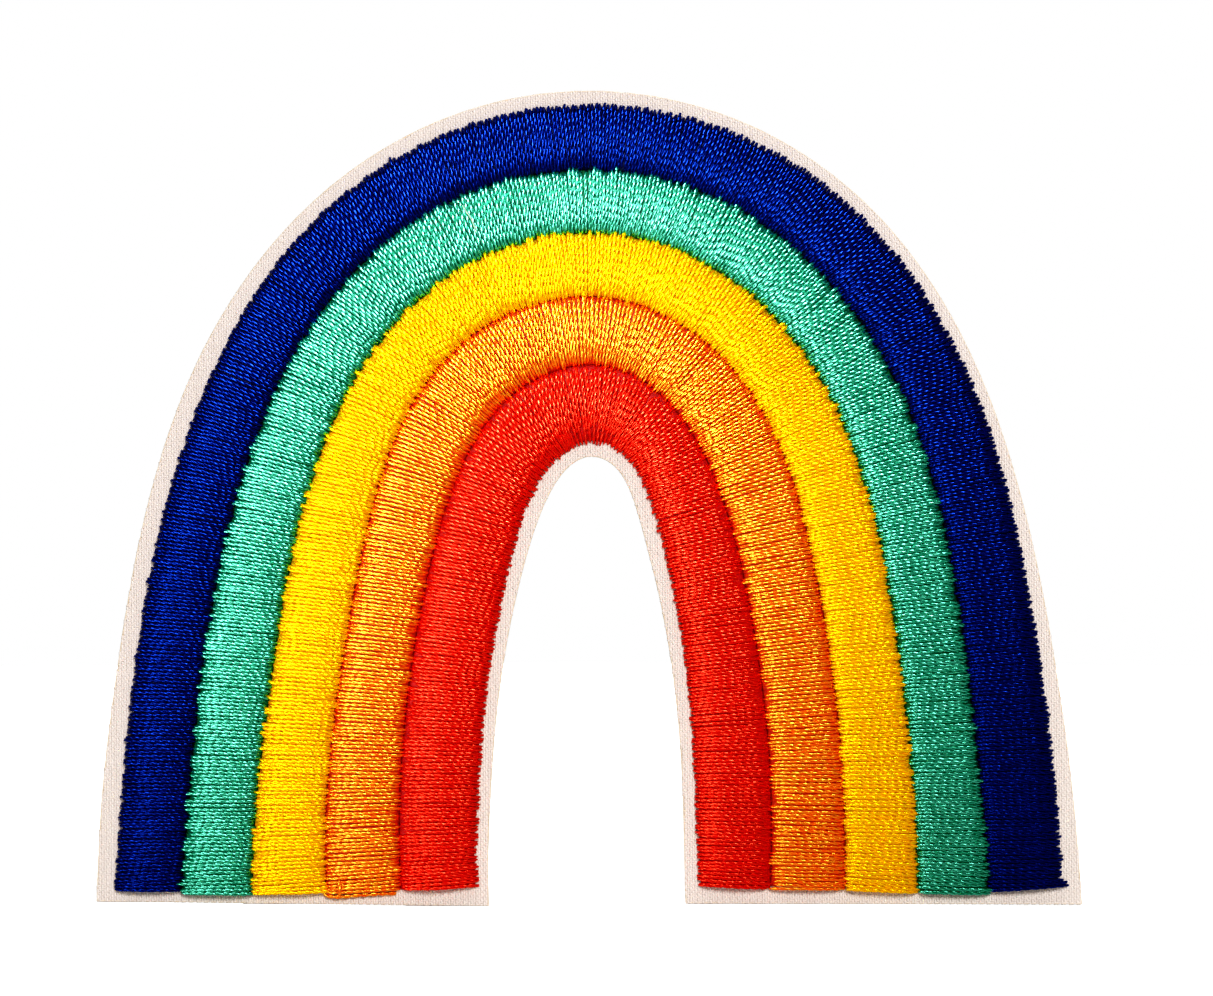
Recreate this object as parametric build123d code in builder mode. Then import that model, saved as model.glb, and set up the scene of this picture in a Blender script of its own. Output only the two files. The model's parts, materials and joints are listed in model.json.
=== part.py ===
from build123d import *
import math
import os

os.makedirs("parts", exist_ok=True)

# Embroidered rainbow patch with a heat-seal back, in millimetres.
#
# Frame: the patch stands in the plane Y = 0, which halves its thickness, and the
# front looks towards -Y.  +Z runs up the arch from the foot line at Z = 0, and
# X = 0 is the middle of the arch.
#
# Layers, from the back to the front:
#   heat_seal_film   meltable film, with a shallow pocket behind each stitch column
#   bobbin_*         the white under-thread strips lying in those pockets
#   stabiliser       stiff non-woven sheet
#   twill_base       woven ground cloth; its cut edge shows as the white border
#   underlay_*       padding stitches, one crowned ridge per column
#   satin_*          the coloured top thread, one arched skin per column

# ---- driving dimensions -----------------------------------------------------
FILM_T = 0.25            # heat-seal film, full thickness
POCKET_D = 0.13          # depth of the pocket behind each stitch column
STABILISER_T = 0.20      # non-woven backing
TWILL_T = 0.40           # twill ground cloth
CROWN_H = 1.02           # height of a satin column above the twill
THREAD_D = 0.30          # thickness of the thread skin
COLUMN_GAP = 0.03        # each column stands back this much from its boundary line
UNDERLAY_CLEAR = 0.012   # air between the underlay ridge and the thread skin
BOBBIN_SHARE = 0.62      # bobbin strip width as a share of its column's width
BOBBIN_T = 0.12          # bobbin strip thickness
POCKET_SHARE = 0.65      # pocket width as a share of its column's width
POCKET_TAIL = 0.10       # the pocket runs past each end of its strip
SECTIONS = 34            # loft sections along each column

# heights of the two ends of each column above the foot line (left, right)
FOOT_BLUE = (1.05, 1.15)
FOOT_GREEN = (0.80, 0.85)
FOOT_YELLOW = (0.84, 1.04)
FOOT_ORANGE = (0.96, 1.15)
FOOT_RED = (1.20, 1.32)

# Boundary lines as (X, Z) points from the left foot over the crown to the right
# foot, the innermost line first.
TWILL_INNER = [
    (-7.76, 0.00), (-7.81, 3.20), (-7.71, 6.73), (-7.51, 10.41), (-7.23, 13.95), (-6.83, 17.33),
    (-6.30, 20.67), (-5.61, 23.99), (-4.81, 27.14), (-3.89, 29.96), (-2.82, 32.28), (-1.56, 33.91),
    (-0.13, 34.66), (1.34, 34.37), (2.59, 33.14), (3.49, 31.11), (4.37, 28.04), (5.21, 24.71),
    (5.89, 21.43), (6.43, 18.08), (6.82, 14.68), (7.09, 11.23), (7.25, 7.66), (7.33, 3.76),
    (7.43, 0.20),
]
EDGE_RED_IN = [
    (-8.48, 0.00), (-8.67, 3.03), (-8.61, 6.56), (-8.43, 10.51), (-8.16, 14.28), (-7.76, 17.81),
    (-7.18, 21.32), (-6.42, 24.98), (-5.58, 28.36), (-4.65, 31.13), (-3.45, 33.37), (-1.96, 34.95),
    (-0.25, 35.69), (1.52, 35.51), (3.05, 34.45), (4.22, 32.54), (5.19, 29.85), (6.04, 26.62),
    (6.76, 23.10), (7.34, 19.52), (7.76, 15.92), (8.05, 12.19), (8.24, 8.23), (8.38, 4.03),
    (8.46, 0.00),
]
EDGE_RED_ORANGE = [
    (-14.49, 0.00), (-14.66, 5.09), (-14.55, 10.05), (-14.15, 15.06), (-13.47, 20.17), (-12.55, 25.11),
    (-11.40, 29.65), (-9.96, 33.65), (-8.17, 36.95), (-5.92, 39.46), (-3.20, 41.10), (-0.25, 41.76),
    (2.59, 41.31), (5.18, 39.78), (7.44, 37.24), (9.32, 33.90), (10.78, 29.96), (11.91, 25.50),
    (12.84, 20.52), (13.55, 15.38), (13.97, 10.43), (14.06, 5.47), (13.97, 0.00),
]
EDGE_ORANGE_YELLOW = [
    (-20.30, 0.00), (-20.42, 5.59), (-20.07, 11.38), (-19.30, 17.53), (-18.21, 24.07), (-16.98, 30.02),
    (-15.50, 34.95), (-13.53, 39.05), (-10.93, 42.42), (-7.73, 44.96), (-4.09, 46.55), (-0.23, 47.07),
    (3.62, 46.49), (7.25, 44.84), (10.46, 42.23), (13.08, 38.82), (15.10, 34.68), (16.62, 29.76),
    (17.85, 23.97), (18.86, 17.73), (19.52, 11.70), (19.77, 5.85), (19.80, 0.00),
]
EDGE_YELLOW_GREEN = [
    (-25.99, 0.00), (-25.82, 6.04), (-25.07, 13.26), (-24.01, 20.85), (-22.77, 27.59), (-21.18, 33.50),
    (-19.07, 38.70), (-16.36, 43.16), (-13.02, 46.82), (-9.11, 49.57), (-4.78, 51.29), (-0.22, 51.89),
    (4.34, 51.34), (8.69, 49.67), (12.63, 46.96), (16.00, 43.35), (18.73, 38.94), (20.84, 33.80),
    (22.42, 27.96), (23.58, 21.37), (24.49, 14.01), (25.14, 6.55), (25.35, 0.00),
]
EDGE_GREEN_BLUE = [
    (-31.55, 0.00), (-30.79, 9.31), (-29.94, 17.43), (-28.74, 24.85), (-27.10, 31.73), (-24.95, 37.96),
    (-22.26, 43.40), (-18.95, 47.99), (-14.99, 51.71), (-10.43, 54.47), (-5.43, 56.19), (-0.21, 56.78),
    (4.99, 56.21), (9.97, 54.50), (14.56, 51.72), (18.60, 47.98), (22.00, 43.41), (24.67, 38.13),
    (26.65, 32.19), (28.09, 25.39), (29.26, 17.27), (30.22, 8.72), (30.90, 0.00),
]
EDGE_BLUE_OUT = [
    (-36.71, 0.00), (-35.83, 10.74), (-34.82, 19.71), (-33.38, 27.81), (-31.37, 35.24), (-28.72, 41.92),
    (-25.40, 47.75), (-21.37, 52.67), (-16.63, 56.62), (-11.24, 59.53), (-5.41, 61.30), (0.63, 61.83),
    (6.62, 61.12), (12.33, 59.18), (17.60, 56.08), (22.24, 51.93), (26.15, 46.86), (29.29, 40.97),
    (31.68, 34.26), (33.49, 26.55), (34.96, 17.65), (36.03, 8.69), (36.56, 0.00),
]
TWILL_OUTER = [
    (-38.06, 0.35), (-37.67, 8.10), (-36.59, 17.43), (-35.12, 26.42), (-33.20, 34.28), (-30.64, 41.21),
    (-27.29, 47.33), (-23.14, 52.60), (-18.24, 56.92), (-12.72, 60.15), (-6.74, 62.18), (-0.50, 62.93),
    (5.77, 62.38), (11.80, 60.55), (17.35, 57.52), (22.22, 53.39), (26.33, 48.24), (29.69, 42.14),
    (32.35, 35.11), (34.43, 27.11), (36.08, 18.13), (37.35, 8.71), (38.06, 0.10),
]

# ---- derived layer planes ---------------------------------------------------
Y_BACK = (FILM_T + STABILISER_T + TWILL_T + CROWN_H) / 2   # origin at mid thickness
Y_FILM_FRONT = Y_BACK - FILM_T
Y_STABILISER_FRONT = Y_FILM_FRONT - STABILISER_T
Y_TWILL_FRONT = Y_STABILISER_FRONT - TWILL_T
Y_POCKET_FLOOR = Y_FILM_FRONT + POCKET_D


def front_plane(y):
    """Drawing plane at depth y: local x is +X, local y is +Z, normal is -Y."""
    return Plane(origin=(0, y, 0), x_dir=(1, 0, 0), z_dir=(0, -1, 0))


def boundary(points):
    """Smooth curve through a boundary list, in the XZ plane at Y = 0."""
    return Spline(*[(x, 0, z) for x, z in points], mode=Mode.PRIVATE)


def height_parameter(curve, z, right):
    """Parameter (0..1) where one leg of a boundary curve reaches height z."""
    low, high = (1.0, 0.75) if right else (0.0, 0.25)
    for _ in range(40):
        middle = (low + high) / 2
        if (curve @ middle).Z < z:
            low = middle
        else:
            high = middle
    return (low + high) / 2


def stations(inner_points, outer_points, feet, count):
    """Cross-sections of one column: (inner point, outer point), foot to foot.

    The inner points are evenly spaced along the inner edge.  Each outer point is
    the one whose line back to the inner point is squarest to both edges, so the
    sections stay square to the column over the crown and down both legs.
    """
    inner, outer = boundary(inner_points), boundary(outer_points)
    i0 = height_parameter(inner, feet[0], False)
    i1 = height_parameter(inner, feet[1], True)
    o0 = height_parameter(outer, feet[0], False)
    o1 = height_parameter(outer, feet[1], True)
    fine = 300
    outs = []
    for k in range(fine + 1):
        p = outer @ (o0 + (o1 - o0) * k / fine)
        outs.append((p.X, p.Z))
    pairs = []
    last = 0
    for k in range(count):
        u = i0 + (i1 - i0) * k / (count - 1)
        p, t = inner @ u, inner % u
        if k == 0:
            pairs.append(((p.X, p.Z), outs[0]))
            continue
        if k == count - 1:
            pairs.append(((p.X, p.Z), outs[-1]))
            continue
        best, best_j = None, last
        for j in range(last + 1, min(last + fine // 8, fine)):
            ax, az = outs[j][0] - p.X, outs[j][1] - p.Z
            tx, tz = outs[j + 1][0] - outs[j - 1][0], outs[j + 1][1] - outs[j - 1][1]
            n, m = math.hypot(ax, az), math.hypot(tx, tz)
            skew = abs((ax * t.X + az * t.Z) / n + (ax * tx + az * tz) / (n * m))
            if best is None or skew < best:
                best, best_j = skew, j
        last = best_j
        pairs.append(((p.X, p.Z), outs[best_j]))
    return pairs


def section_plane(a, b, y):
    """Plane across a column: local x runs inner to outer, local y is -Y."""
    ax, az = b[0] - a[0], b[1] - a[1]
    n = math.hypot(ax, az)
    ax, az = ax / n, az / n
    return Plane(origin=((a[0] + b[0]) / 2, y, (a[1] + b[1]) / 2),
                 x_dir=(ax, 0, az), z_dir=(az, 0, -ax))


def half_width(a, b):
    """Half the column's width at one section, short of its boundary lines."""
    return math.hypot(b[0] - a[0], b[1] - a[1]) / 2 - COLUMN_GAP


def strip_outline(pairs, share, tail=0.0):
    """Inner and outer (X, Z) points of a strip centred on a column."""
    inner, outer = [], []
    for k, (a, b) in enumerate(pairs):
        mx, mz = (a[0] + b[0]) / 2, (a[1] + b[1]) / 2
        hx, hz = (b[0] - a[0]) / 2 * share, (b[1] - a[1]) / 2 * share
        drop = tail if k in (0, len(pairs) - 1) else 0.0
        inner.append((mx - hx, mz - hz - drop))
        outer.append((mx + hx, mz + hz - drop))
    return inner, outer


ST_RED = stations(EDGE_RED_IN, EDGE_RED_ORANGE, FOOT_RED, SECTIONS)
ST_ORANGE = stations(EDGE_RED_ORANGE, EDGE_ORANGE_YELLOW, FOOT_ORANGE, SECTIONS)
ST_YELLOW = stations(EDGE_ORANGE_YELLOW, EDGE_YELLOW_GREEN, FOOT_YELLOW, SECTIONS)
ST_GREEN = stations(EDGE_YELLOW_GREEN, EDGE_GREEN_BLUE, FOOT_GREEN, SECTIONS)
ST_BLUE = stations(EDGE_GREEN_BLUE, EDGE_BLUE_OUT, FOOT_BLUE, SECTIONS)


# ---- ground layers ----------------------------------------------------------
# Twill ground cloth, cut to the arch with square feet.
with BuildPart() as twill_base:
    with BuildSketch(front_plane(Y_STABILISER_FRONT)):
        with BuildLine():
            Spline(*TWILL_OUTER)
            Line(TWILL_OUTER[-1], TWILL_INNER[-1])
            Spline(*TWILL_INNER)
            Line(TWILL_INNER[0], TWILL_OUTER[0])
        make_face()
    extrude(amount=TWILL_T)
twill_base.part.label = "twill_base"
export_step(twill_base.part, "parts/twill_base.step")

# Non-woven stabiliser, the same outline, behind the twill.
with BuildPart() as stabiliser:
    with BuildSketch(front_plane(Y_FILM_FRONT)):
        with BuildLine():
            Spline(*TWILL_OUTER)
            Line(TWILL_OUTER[-1], TWILL_INNER[-1])
            Spline(*TWILL_INNER)
            Line(TWILL_INNER[0], TWILL_OUTER[0])
        make_face()
    extrude(amount=STABILISER_T)
stabiliser.part.label = "stabiliser"
export_step(stabiliser.part, "parts/stabiliser.step")


# ---- satin columns: arched skins of coloured top thread ---------------------
# Outermost column, blue.
with BuildPart() as satin_blue:
    for a, b in ST_BLUE:
        w = half_width(a, b)
        with BuildSketch(section_plane(a, b, Y_TWILL_FRONT)):
            with BuildLine():
                EllipticalCenterArc((0, 0), w, CROWN_H, start_angle=0, arc_size=180)
                Line((-w, 0), (-w + THREAD_D, 0))
                EllipticalCenterArc((0, 0), w - THREAD_D, CROWN_H - THREAD_D, start_angle=0, arc_size=180)
                Line((w - THREAD_D, 0), (w, 0))
            make_face()
    loft()
satin_blue.part.label = "satin_blue"
export_step(satin_blue.part, "parts/satin_blue.step")

# Second column, green.
with BuildPart() as satin_green:
    for a, b in ST_GREEN:
        w = half_width(a, b)
        with BuildSketch(section_plane(a, b, Y_TWILL_FRONT)):
            with BuildLine():
                EllipticalCenterArc((0, 0), w, CROWN_H, start_angle=0, arc_size=180)
                Line((-w, 0), (-w + THREAD_D, 0))
                EllipticalCenterArc((0, 0), w - THREAD_D, CROWN_H - THREAD_D, start_angle=0, arc_size=180)
                Line((w - THREAD_D, 0), (w, 0))
            make_face()
    loft()
satin_green.part.label = "satin_green"
export_step(satin_green.part, "parts/satin_green.step")

# Third column, yellow.
with BuildPart() as satin_yellow:
    for a, b in ST_YELLOW:
        w = half_width(a, b)
        with BuildSketch(section_plane(a, b, Y_TWILL_FRONT)):
            with BuildLine():
                EllipticalCenterArc((0, 0), w, CROWN_H, start_angle=0, arc_size=180)
                Line((-w, 0), (-w + THREAD_D, 0))
                EllipticalCenterArc((0, 0), w - THREAD_D, CROWN_H - THREAD_D, start_angle=0, arc_size=180)
                Line((w - THREAD_D, 0), (w, 0))
            make_face()
    loft()
satin_yellow.part.label = "satin_yellow"
export_step(satin_yellow.part, "parts/satin_yellow.step")

# Fourth column, orange.
with BuildPart() as satin_orange:
    for a, b in ST_ORANGE:
        w = half_width(a, b)
        with BuildSketch(section_plane(a, b, Y_TWILL_FRONT)):
            with BuildLine():
                EllipticalCenterArc((0, 0), w, CROWN_H, start_angle=0, arc_size=180)
                Line((-w, 0), (-w + THREAD_D, 0))
                EllipticalCenterArc((0, 0), w - THREAD_D, CROWN_H - THREAD_D, start_angle=0, arc_size=180)
                Line((w - THREAD_D, 0), (w, 0))
            make_face()
    loft()
satin_orange.part.label = "satin_orange"
export_step(satin_orange.part, "parts/satin_orange.step")

# Innermost column, red.
with BuildPart() as satin_red:
    for a, b in ST_RED:
        w = half_width(a, b)
        with BuildSketch(section_plane(a, b, Y_TWILL_FRONT)):
            with BuildLine():
                EllipticalCenterArc((0, 0), w, CROWN_H, start_angle=0, arc_size=180)
                Line((-w, 0), (-w + THREAD_D, 0))
                EllipticalCenterArc((0, 0), w - THREAD_D, CROWN_H - THREAD_D, start_angle=0, arc_size=180)
                Line((w - THREAD_D, 0), (w, 0))
            make_face()
    loft()
satin_red.part.label = "satin_red"
export_step(satin_red.part, "parts/satin_red.step")

# ---- underlay: crowned padding stitches inside each column ------------------
with BuildPart() as underlay_blue:
    for a, b in ST_BLUE:
        w = half_width(a, b) - THREAD_D - UNDERLAY_CLEAR
        with BuildSketch(section_plane(a, b, Y_TWILL_FRONT)):
            with BuildLine():
                EllipticalCenterArc((0, 0), w, CROWN_H - THREAD_D - UNDERLAY_CLEAR, start_angle=0, arc_size=180)
                Line((-w, 0), (w, 0))
            make_face()
    loft()
underlay_blue.part.label = "underlay_blue"
export_step(underlay_blue.part, "parts/underlay_blue.step")

with BuildPart() as underlay_green:
    for a, b in ST_GREEN:
        w = half_width(a, b) - THREAD_D - UNDERLAY_CLEAR
        with BuildSketch(section_plane(a, b, Y_TWILL_FRONT)):
            with BuildLine():
                EllipticalCenterArc((0, 0), w, CROWN_H - THREAD_D - UNDERLAY_CLEAR, start_angle=0, arc_size=180)
                Line((-w, 0), (w, 0))
            make_face()
    loft()
underlay_green.part.label = "underlay_green"
export_step(underlay_green.part, "parts/underlay_green.step")

with BuildPart() as underlay_yellow:
    for a, b in ST_YELLOW:
        w = half_width(a, b) - THREAD_D - UNDERLAY_CLEAR
        with BuildSketch(section_plane(a, b, Y_TWILL_FRONT)):
            with BuildLine():
                EllipticalCenterArc((0, 0), w, CROWN_H - THREAD_D - UNDERLAY_CLEAR, start_angle=0, arc_size=180)
                Line((-w, 0), (w, 0))
            make_face()
    loft()
underlay_yellow.part.label = "underlay_yellow"
export_step(underlay_yellow.part, "parts/underlay_yellow.step")

with BuildPart() as underlay_orange:
    for a, b in ST_ORANGE:
        w = half_width(a, b) - THREAD_D - UNDERLAY_CLEAR
        with BuildSketch(section_plane(a, b, Y_TWILL_FRONT)):
            with BuildLine():
                EllipticalCenterArc((0, 0), w, CROWN_H - THREAD_D - UNDERLAY_CLEAR, start_angle=0, arc_size=180)
                Line((-w, 0), (w, 0))
            make_face()
    loft()
underlay_orange.part.label = "underlay_orange"
export_step(underlay_orange.part, "parts/underlay_orange.step")

with BuildPart() as underlay_red:
    for a, b in ST_RED:
        w = half_width(a, b) - THREAD_D - UNDERLAY_CLEAR
        with BuildSketch(section_plane(a, b, Y_TWILL_FRONT)):
            with BuildLine():
                EllipticalCenterArc((0, 0), w, CROWN_H - THREAD_D - UNDERLAY_CLEAR, start_angle=0, arc_size=180)
                Line((-w, 0), (w, 0))
            make_face()
    loft()
underlay_red.part.label = "underlay_red"
export_step(underlay_red.part, "parts/underlay_red.step")

# ---- bobbin thread: flat strips down the middle of each column's back -------
with BuildPart() as bobbin_blue:
    inner, outer = strip_outline(ST_BLUE, BOBBIN_SHARE)
    with BuildSketch(front_plane(Y_FILM_FRONT + BOBBIN_T)):
        with BuildLine():
            Spline(*outer)
            Line(outer[-1], inner[-1])
            Spline(*inner)
            Line(inner[0], outer[0])
        make_face()
    extrude(amount=BOBBIN_T)
bobbin_blue.part.label = "bobbin_blue"
export_step(bobbin_blue.part, "parts/bobbin_blue.step")

with BuildPart() as bobbin_green:
    inner, outer = strip_outline(ST_GREEN, BOBBIN_SHARE)
    with BuildSketch(front_plane(Y_FILM_FRONT + BOBBIN_T)):
        with BuildLine():
            Spline(*outer)
            Line(outer[-1], inner[-1])
            Spline(*inner)
            Line(inner[0], outer[0])
        make_face()
    extrude(amount=BOBBIN_T)
bobbin_green.part.label = "bobbin_green"
export_step(bobbin_green.part, "parts/bobbin_green.step")

with BuildPart() as bobbin_yellow:
    inner, outer = strip_outline(ST_YELLOW, BOBBIN_SHARE)
    with BuildSketch(front_plane(Y_FILM_FRONT + BOBBIN_T)):
        with BuildLine():
            Spline(*outer)
            Line(outer[-1], inner[-1])
            Spline(*inner)
            Line(inner[0], outer[0])
        make_face()
    extrude(amount=BOBBIN_T)
bobbin_yellow.part.label = "bobbin_yellow"
export_step(bobbin_yellow.part, "parts/bobbin_yellow.step")

with BuildPart() as bobbin_orange:
    inner, outer = strip_outline(ST_ORANGE, BOBBIN_SHARE)
    with BuildSketch(front_plane(Y_FILM_FRONT + BOBBIN_T)):
        with BuildLine():
            Spline(*outer)
            Line(outer[-1], inner[-1])
            Spline(*inner)
            Line(inner[0], outer[0])
        make_face()
    extrude(amount=BOBBIN_T)
bobbin_orange.part.label = "bobbin_orange"
export_step(bobbin_orange.part, "parts/bobbin_orange.step")

with BuildPart() as bobbin_red:
    inner, outer = strip_outline(ST_RED, BOBBIN_SHARE)
    with BuildSketch(front_plane(Y_FILM_FRONT + BOBBIN_T)):
        with BuildLine():
            Spline(*outer)
            Line(outer[-1], inner[-1])
            Spline(*inner)
            Line(inner[0], outer[0])
        make_face()
    extrude(amount=BOBBIN_T)
bobbin_red.part.label = "bobbin_red"
export_step(bobbin_red.part, "parts/bobbin_red.step")

# ---- heat-seal film ---------------------------------------------------------
# The film covers the whole back and carries one pocket per bobbin strip, a
# little wider and longer than the strip.
with BuildPart() as heat_seal_film:
    with BuildSketch(front_plane(Y_BACK)):
        with BuildLine():
            Spline(*TWILL_OUTER)
            Line(TWILL_OUTER[-1], TWILL_INNER[-1])
            Spline(*TWILL_INNER)
            Line(TWILL_INNER[0], TWILL_OUTER[0])
        make_face()
    extrude(amount=FILM_T)
    for pairs in (ST_BLUE, ST_GREEN, ST_YELLOW, ST_ORANGE, ST_RED):
        inner, outer = strip_outline(pairs, POCKET_SHARE, POCKET_TAIL)
        with BuildSketch(front_plane(Y_POCKET_FLOOR)):
            with BuildLine():
                Spline(*outer)
                Line(outer[-1], inner[-1])
                Spline(*inner)
                Line(inner[0], outer[0])
            make_face()
        extrude(amount=POCKET_D, mode=Mode.SUBTRACT)
heat_seal_film.part.label = "heat_seal_film"
export_step(heat_seal_film.part, "parts/heat_seal_film.step")
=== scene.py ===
import json
import math

import bpy
import numpy as np
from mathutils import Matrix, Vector

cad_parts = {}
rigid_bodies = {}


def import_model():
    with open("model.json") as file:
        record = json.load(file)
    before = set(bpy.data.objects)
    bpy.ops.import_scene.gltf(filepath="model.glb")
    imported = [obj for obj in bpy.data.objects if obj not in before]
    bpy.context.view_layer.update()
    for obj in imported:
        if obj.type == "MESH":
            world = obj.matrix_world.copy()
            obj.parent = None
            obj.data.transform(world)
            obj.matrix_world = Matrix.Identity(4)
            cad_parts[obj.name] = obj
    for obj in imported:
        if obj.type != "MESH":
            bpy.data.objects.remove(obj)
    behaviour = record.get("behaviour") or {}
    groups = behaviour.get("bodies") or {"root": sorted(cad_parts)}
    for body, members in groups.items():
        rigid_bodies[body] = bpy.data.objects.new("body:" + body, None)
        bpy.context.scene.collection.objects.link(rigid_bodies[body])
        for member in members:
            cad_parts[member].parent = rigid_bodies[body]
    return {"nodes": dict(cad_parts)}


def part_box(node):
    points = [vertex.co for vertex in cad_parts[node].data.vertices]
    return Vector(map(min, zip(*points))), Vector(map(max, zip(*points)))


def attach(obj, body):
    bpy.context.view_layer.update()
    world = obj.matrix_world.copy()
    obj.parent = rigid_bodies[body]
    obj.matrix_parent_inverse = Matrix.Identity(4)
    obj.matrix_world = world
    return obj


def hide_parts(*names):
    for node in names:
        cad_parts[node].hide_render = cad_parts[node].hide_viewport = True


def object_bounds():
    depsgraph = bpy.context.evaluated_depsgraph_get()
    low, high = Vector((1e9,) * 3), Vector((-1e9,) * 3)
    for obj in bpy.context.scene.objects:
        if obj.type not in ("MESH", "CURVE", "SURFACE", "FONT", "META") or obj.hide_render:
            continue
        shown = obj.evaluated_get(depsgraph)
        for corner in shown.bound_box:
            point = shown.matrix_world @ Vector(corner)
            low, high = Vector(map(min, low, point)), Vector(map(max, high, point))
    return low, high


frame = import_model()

cad_lo, cad_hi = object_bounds()
rng = np.random.default_rng(7)
MM = 0.001

# ----------------------------------------------------------------------------
# Boundary lines of the patch as (x, z) in mm, left foot over the crown to the
# right foot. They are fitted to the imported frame's own boxes just below.
# ----------------------------------------------------------------------------
TWILL_INNER = [
    (-7.76, 0.00), (-7.81, 3.20), (-7.71, 6.73), (-7.51, 10.41), (-7.23, 13.95), (-6.83, 17.33),
    (-6.30, 20.67), (-5.61, 23.99), (-4.81, 27.14), (-3.89, 29.96), (-2.82, 32.28), (-1.56, 33.91),
    (-0.13, 34.66), (1.34, 34.37), (2.59, 33.14), (3.49, 31.11), (4.37, 28.04), (5.21, 24.71),
    (5.89, 21.43), (6.43, 18.08), (6.82, 14.68), (7.09, 11.23), (7.25, 7.66), (7.33, 3.76),
    (7.43, 0.20),
]
EDGE_RED_IN = [
    (-8.48, 0.00), (-8.67, 3.03), (-8.61, 6.56), (-8.43, 10.51), (-8.16, 14.28), (-7.76, 17.81),
    (-7.18, 21.32), (-6.42, 24.98), (-5.58, 28.36), (-4.65, 31.13), (-3.45, 33.37), (-1.96, 34.95),
    (-0.25, 35.69), (1.52, 35.51), (3.05, 34.45), (4.22, 32.54), (5.19, 29.85), (6.04, 26.62),
    (6.76, 23.10), (7.34, 19.52), (7.76, 15.92), (8.05, 12.19), (8.24, 8.23), (8.38, 4.03),
    (8.46, 0.00),
]
EDGE_RED_ORANGE = [
    (-14.49, 0.00), (-14.66, 5.09), (-14.55, 10.05), (-14.15, 15.06), (-13.47, 20.17), (-12.55, 25.11),
    (-11.40, 29.65), (-9.96, 33.65), (-8.17, 36.95), (-5.92, 39.46), (-3.20, 41.10), (-0.25, 41.76),
    (2.59, 41.31), (5.18, 39.78), (7.44, 37.24), (9.32, 33.90), (10.78, 29.96), (11.91, 25.50),
    (12.84, 20.52), (13.55, 15.38), (13.97, 10.43), (14.06, 5.47), (13.97, 0.00),
]
EDGE_ORANGE_YELLOW = [
    (-20.30, 0.00), (-20.42, 5.59), (-20.07, 11.38), (-19.30, 17.53), (-18.21, 24.07), (-16.98, 30.02),
    (-15.50, 34.95), (-13.53, 39.05), (-10.93, 42.42), (-7.73, 44.96), (-4.09, 46.55), (-0.23, 47.07),
    (3.62, 46.49), (7.25, 44.84), (10.46, 42.23), (13.08, 38.82), (15.10, 34.68), (16.62, 29.76),
    (17.85, 23.97), (18.86, 17.73), (19.52, 11.70), (19.77, 5.85), (19.80, 0.00),
]
EDGE_YELLOW_GREEN = [
    (-25.99, 0.00), (-25.82, 6.04), (-25.07, 13.26), (-24.01, 20.85), (-22.77, 27.59), (-21.18, 33.50),
    (-19.07, 38.70), (-16.36, 43.16), (-13.02, 46.82), (-9.11, 49.57), (-4.78, 51.29), (-0.22, 51.89),
    (4.34, 51.34), (8.69, 49.67), (12.63, 46.96), (16.00, 43.35), (18.73, 38.94), (20.84, 33.80),
    (22.42, 27.96), (23.58, 21.37), (24.49, 14.01), (25.14, 6.55), (25.35, 0.00),
]
EDGE_GREEN_BLUE = [
    (-31.55, 0.00), (-30.79, 9.31), (-29.94, 17.43), (-28.74, 24.85), (-27.10, 31.73), (-24.95, 37.96),
    (-22.26, 43.40), (-18.95, 47.99), (-14.99, 51.71), (-10.43, 54.47), (-5.43, 56.19), (-0.21, 56.78),
    (4.99, 56.21), (9.97, 54.50), (14.56, 51.72), (18.60, 47.98), (22.00, 43.41), (24.67, 38.13),
    (26.65, 32.19), (28.09, 25.39), (29.26, 17.27), (30.22, 8.72), (30.90, 0.00),
]
EDGE_BLUE_OUT = [
    (-36.71, 0.00), (-35.83, 10.74), (-34.82, 19.71), (-33.38, 27.81), (-31.37, 35.24), (-28.72, 41.92),
    (-25.40, 47.75), (-21.37, 52.67), (-16.63, 56.62), (-11.24, 59.53), (-5.41, 61.30), (0.63, 61.83),
    (6.62, 61.12), (12.33, 59.18), (17.60, 56.08), (22.24, 51.93), (26.15, 46.86), (29.29, 40.97),
    (31.68, 34.26), (33.49, 26.55), (34.96, 17.65), (36.03, 8.69), (36.56, 0.00),
]
TWILL_OUTER = [
    (-38.06, 0.35), (-37.67, 8.10), (-36.59, 17.43), (-35.12, 26.42), (-33.20, 34.28), (-30.64, 41.21),
    (-27.29, 47.33), (-23.14, 52.60), (-18.24, 56.92), (-12.72, 60.15), (-6.74, 62.18), (-0.50, 62.93),
    (5.77, 62.38), (11.80, 60.55), (17.35, 57.52), (22.22, 53.39), (26.33, 48.24), (29.69, 42.14),
    (32.35, 35.11), (34.43, 27.11), (36.08, 18.13), (37.35, 8.71), (38.06, 0.10),
]

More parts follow.
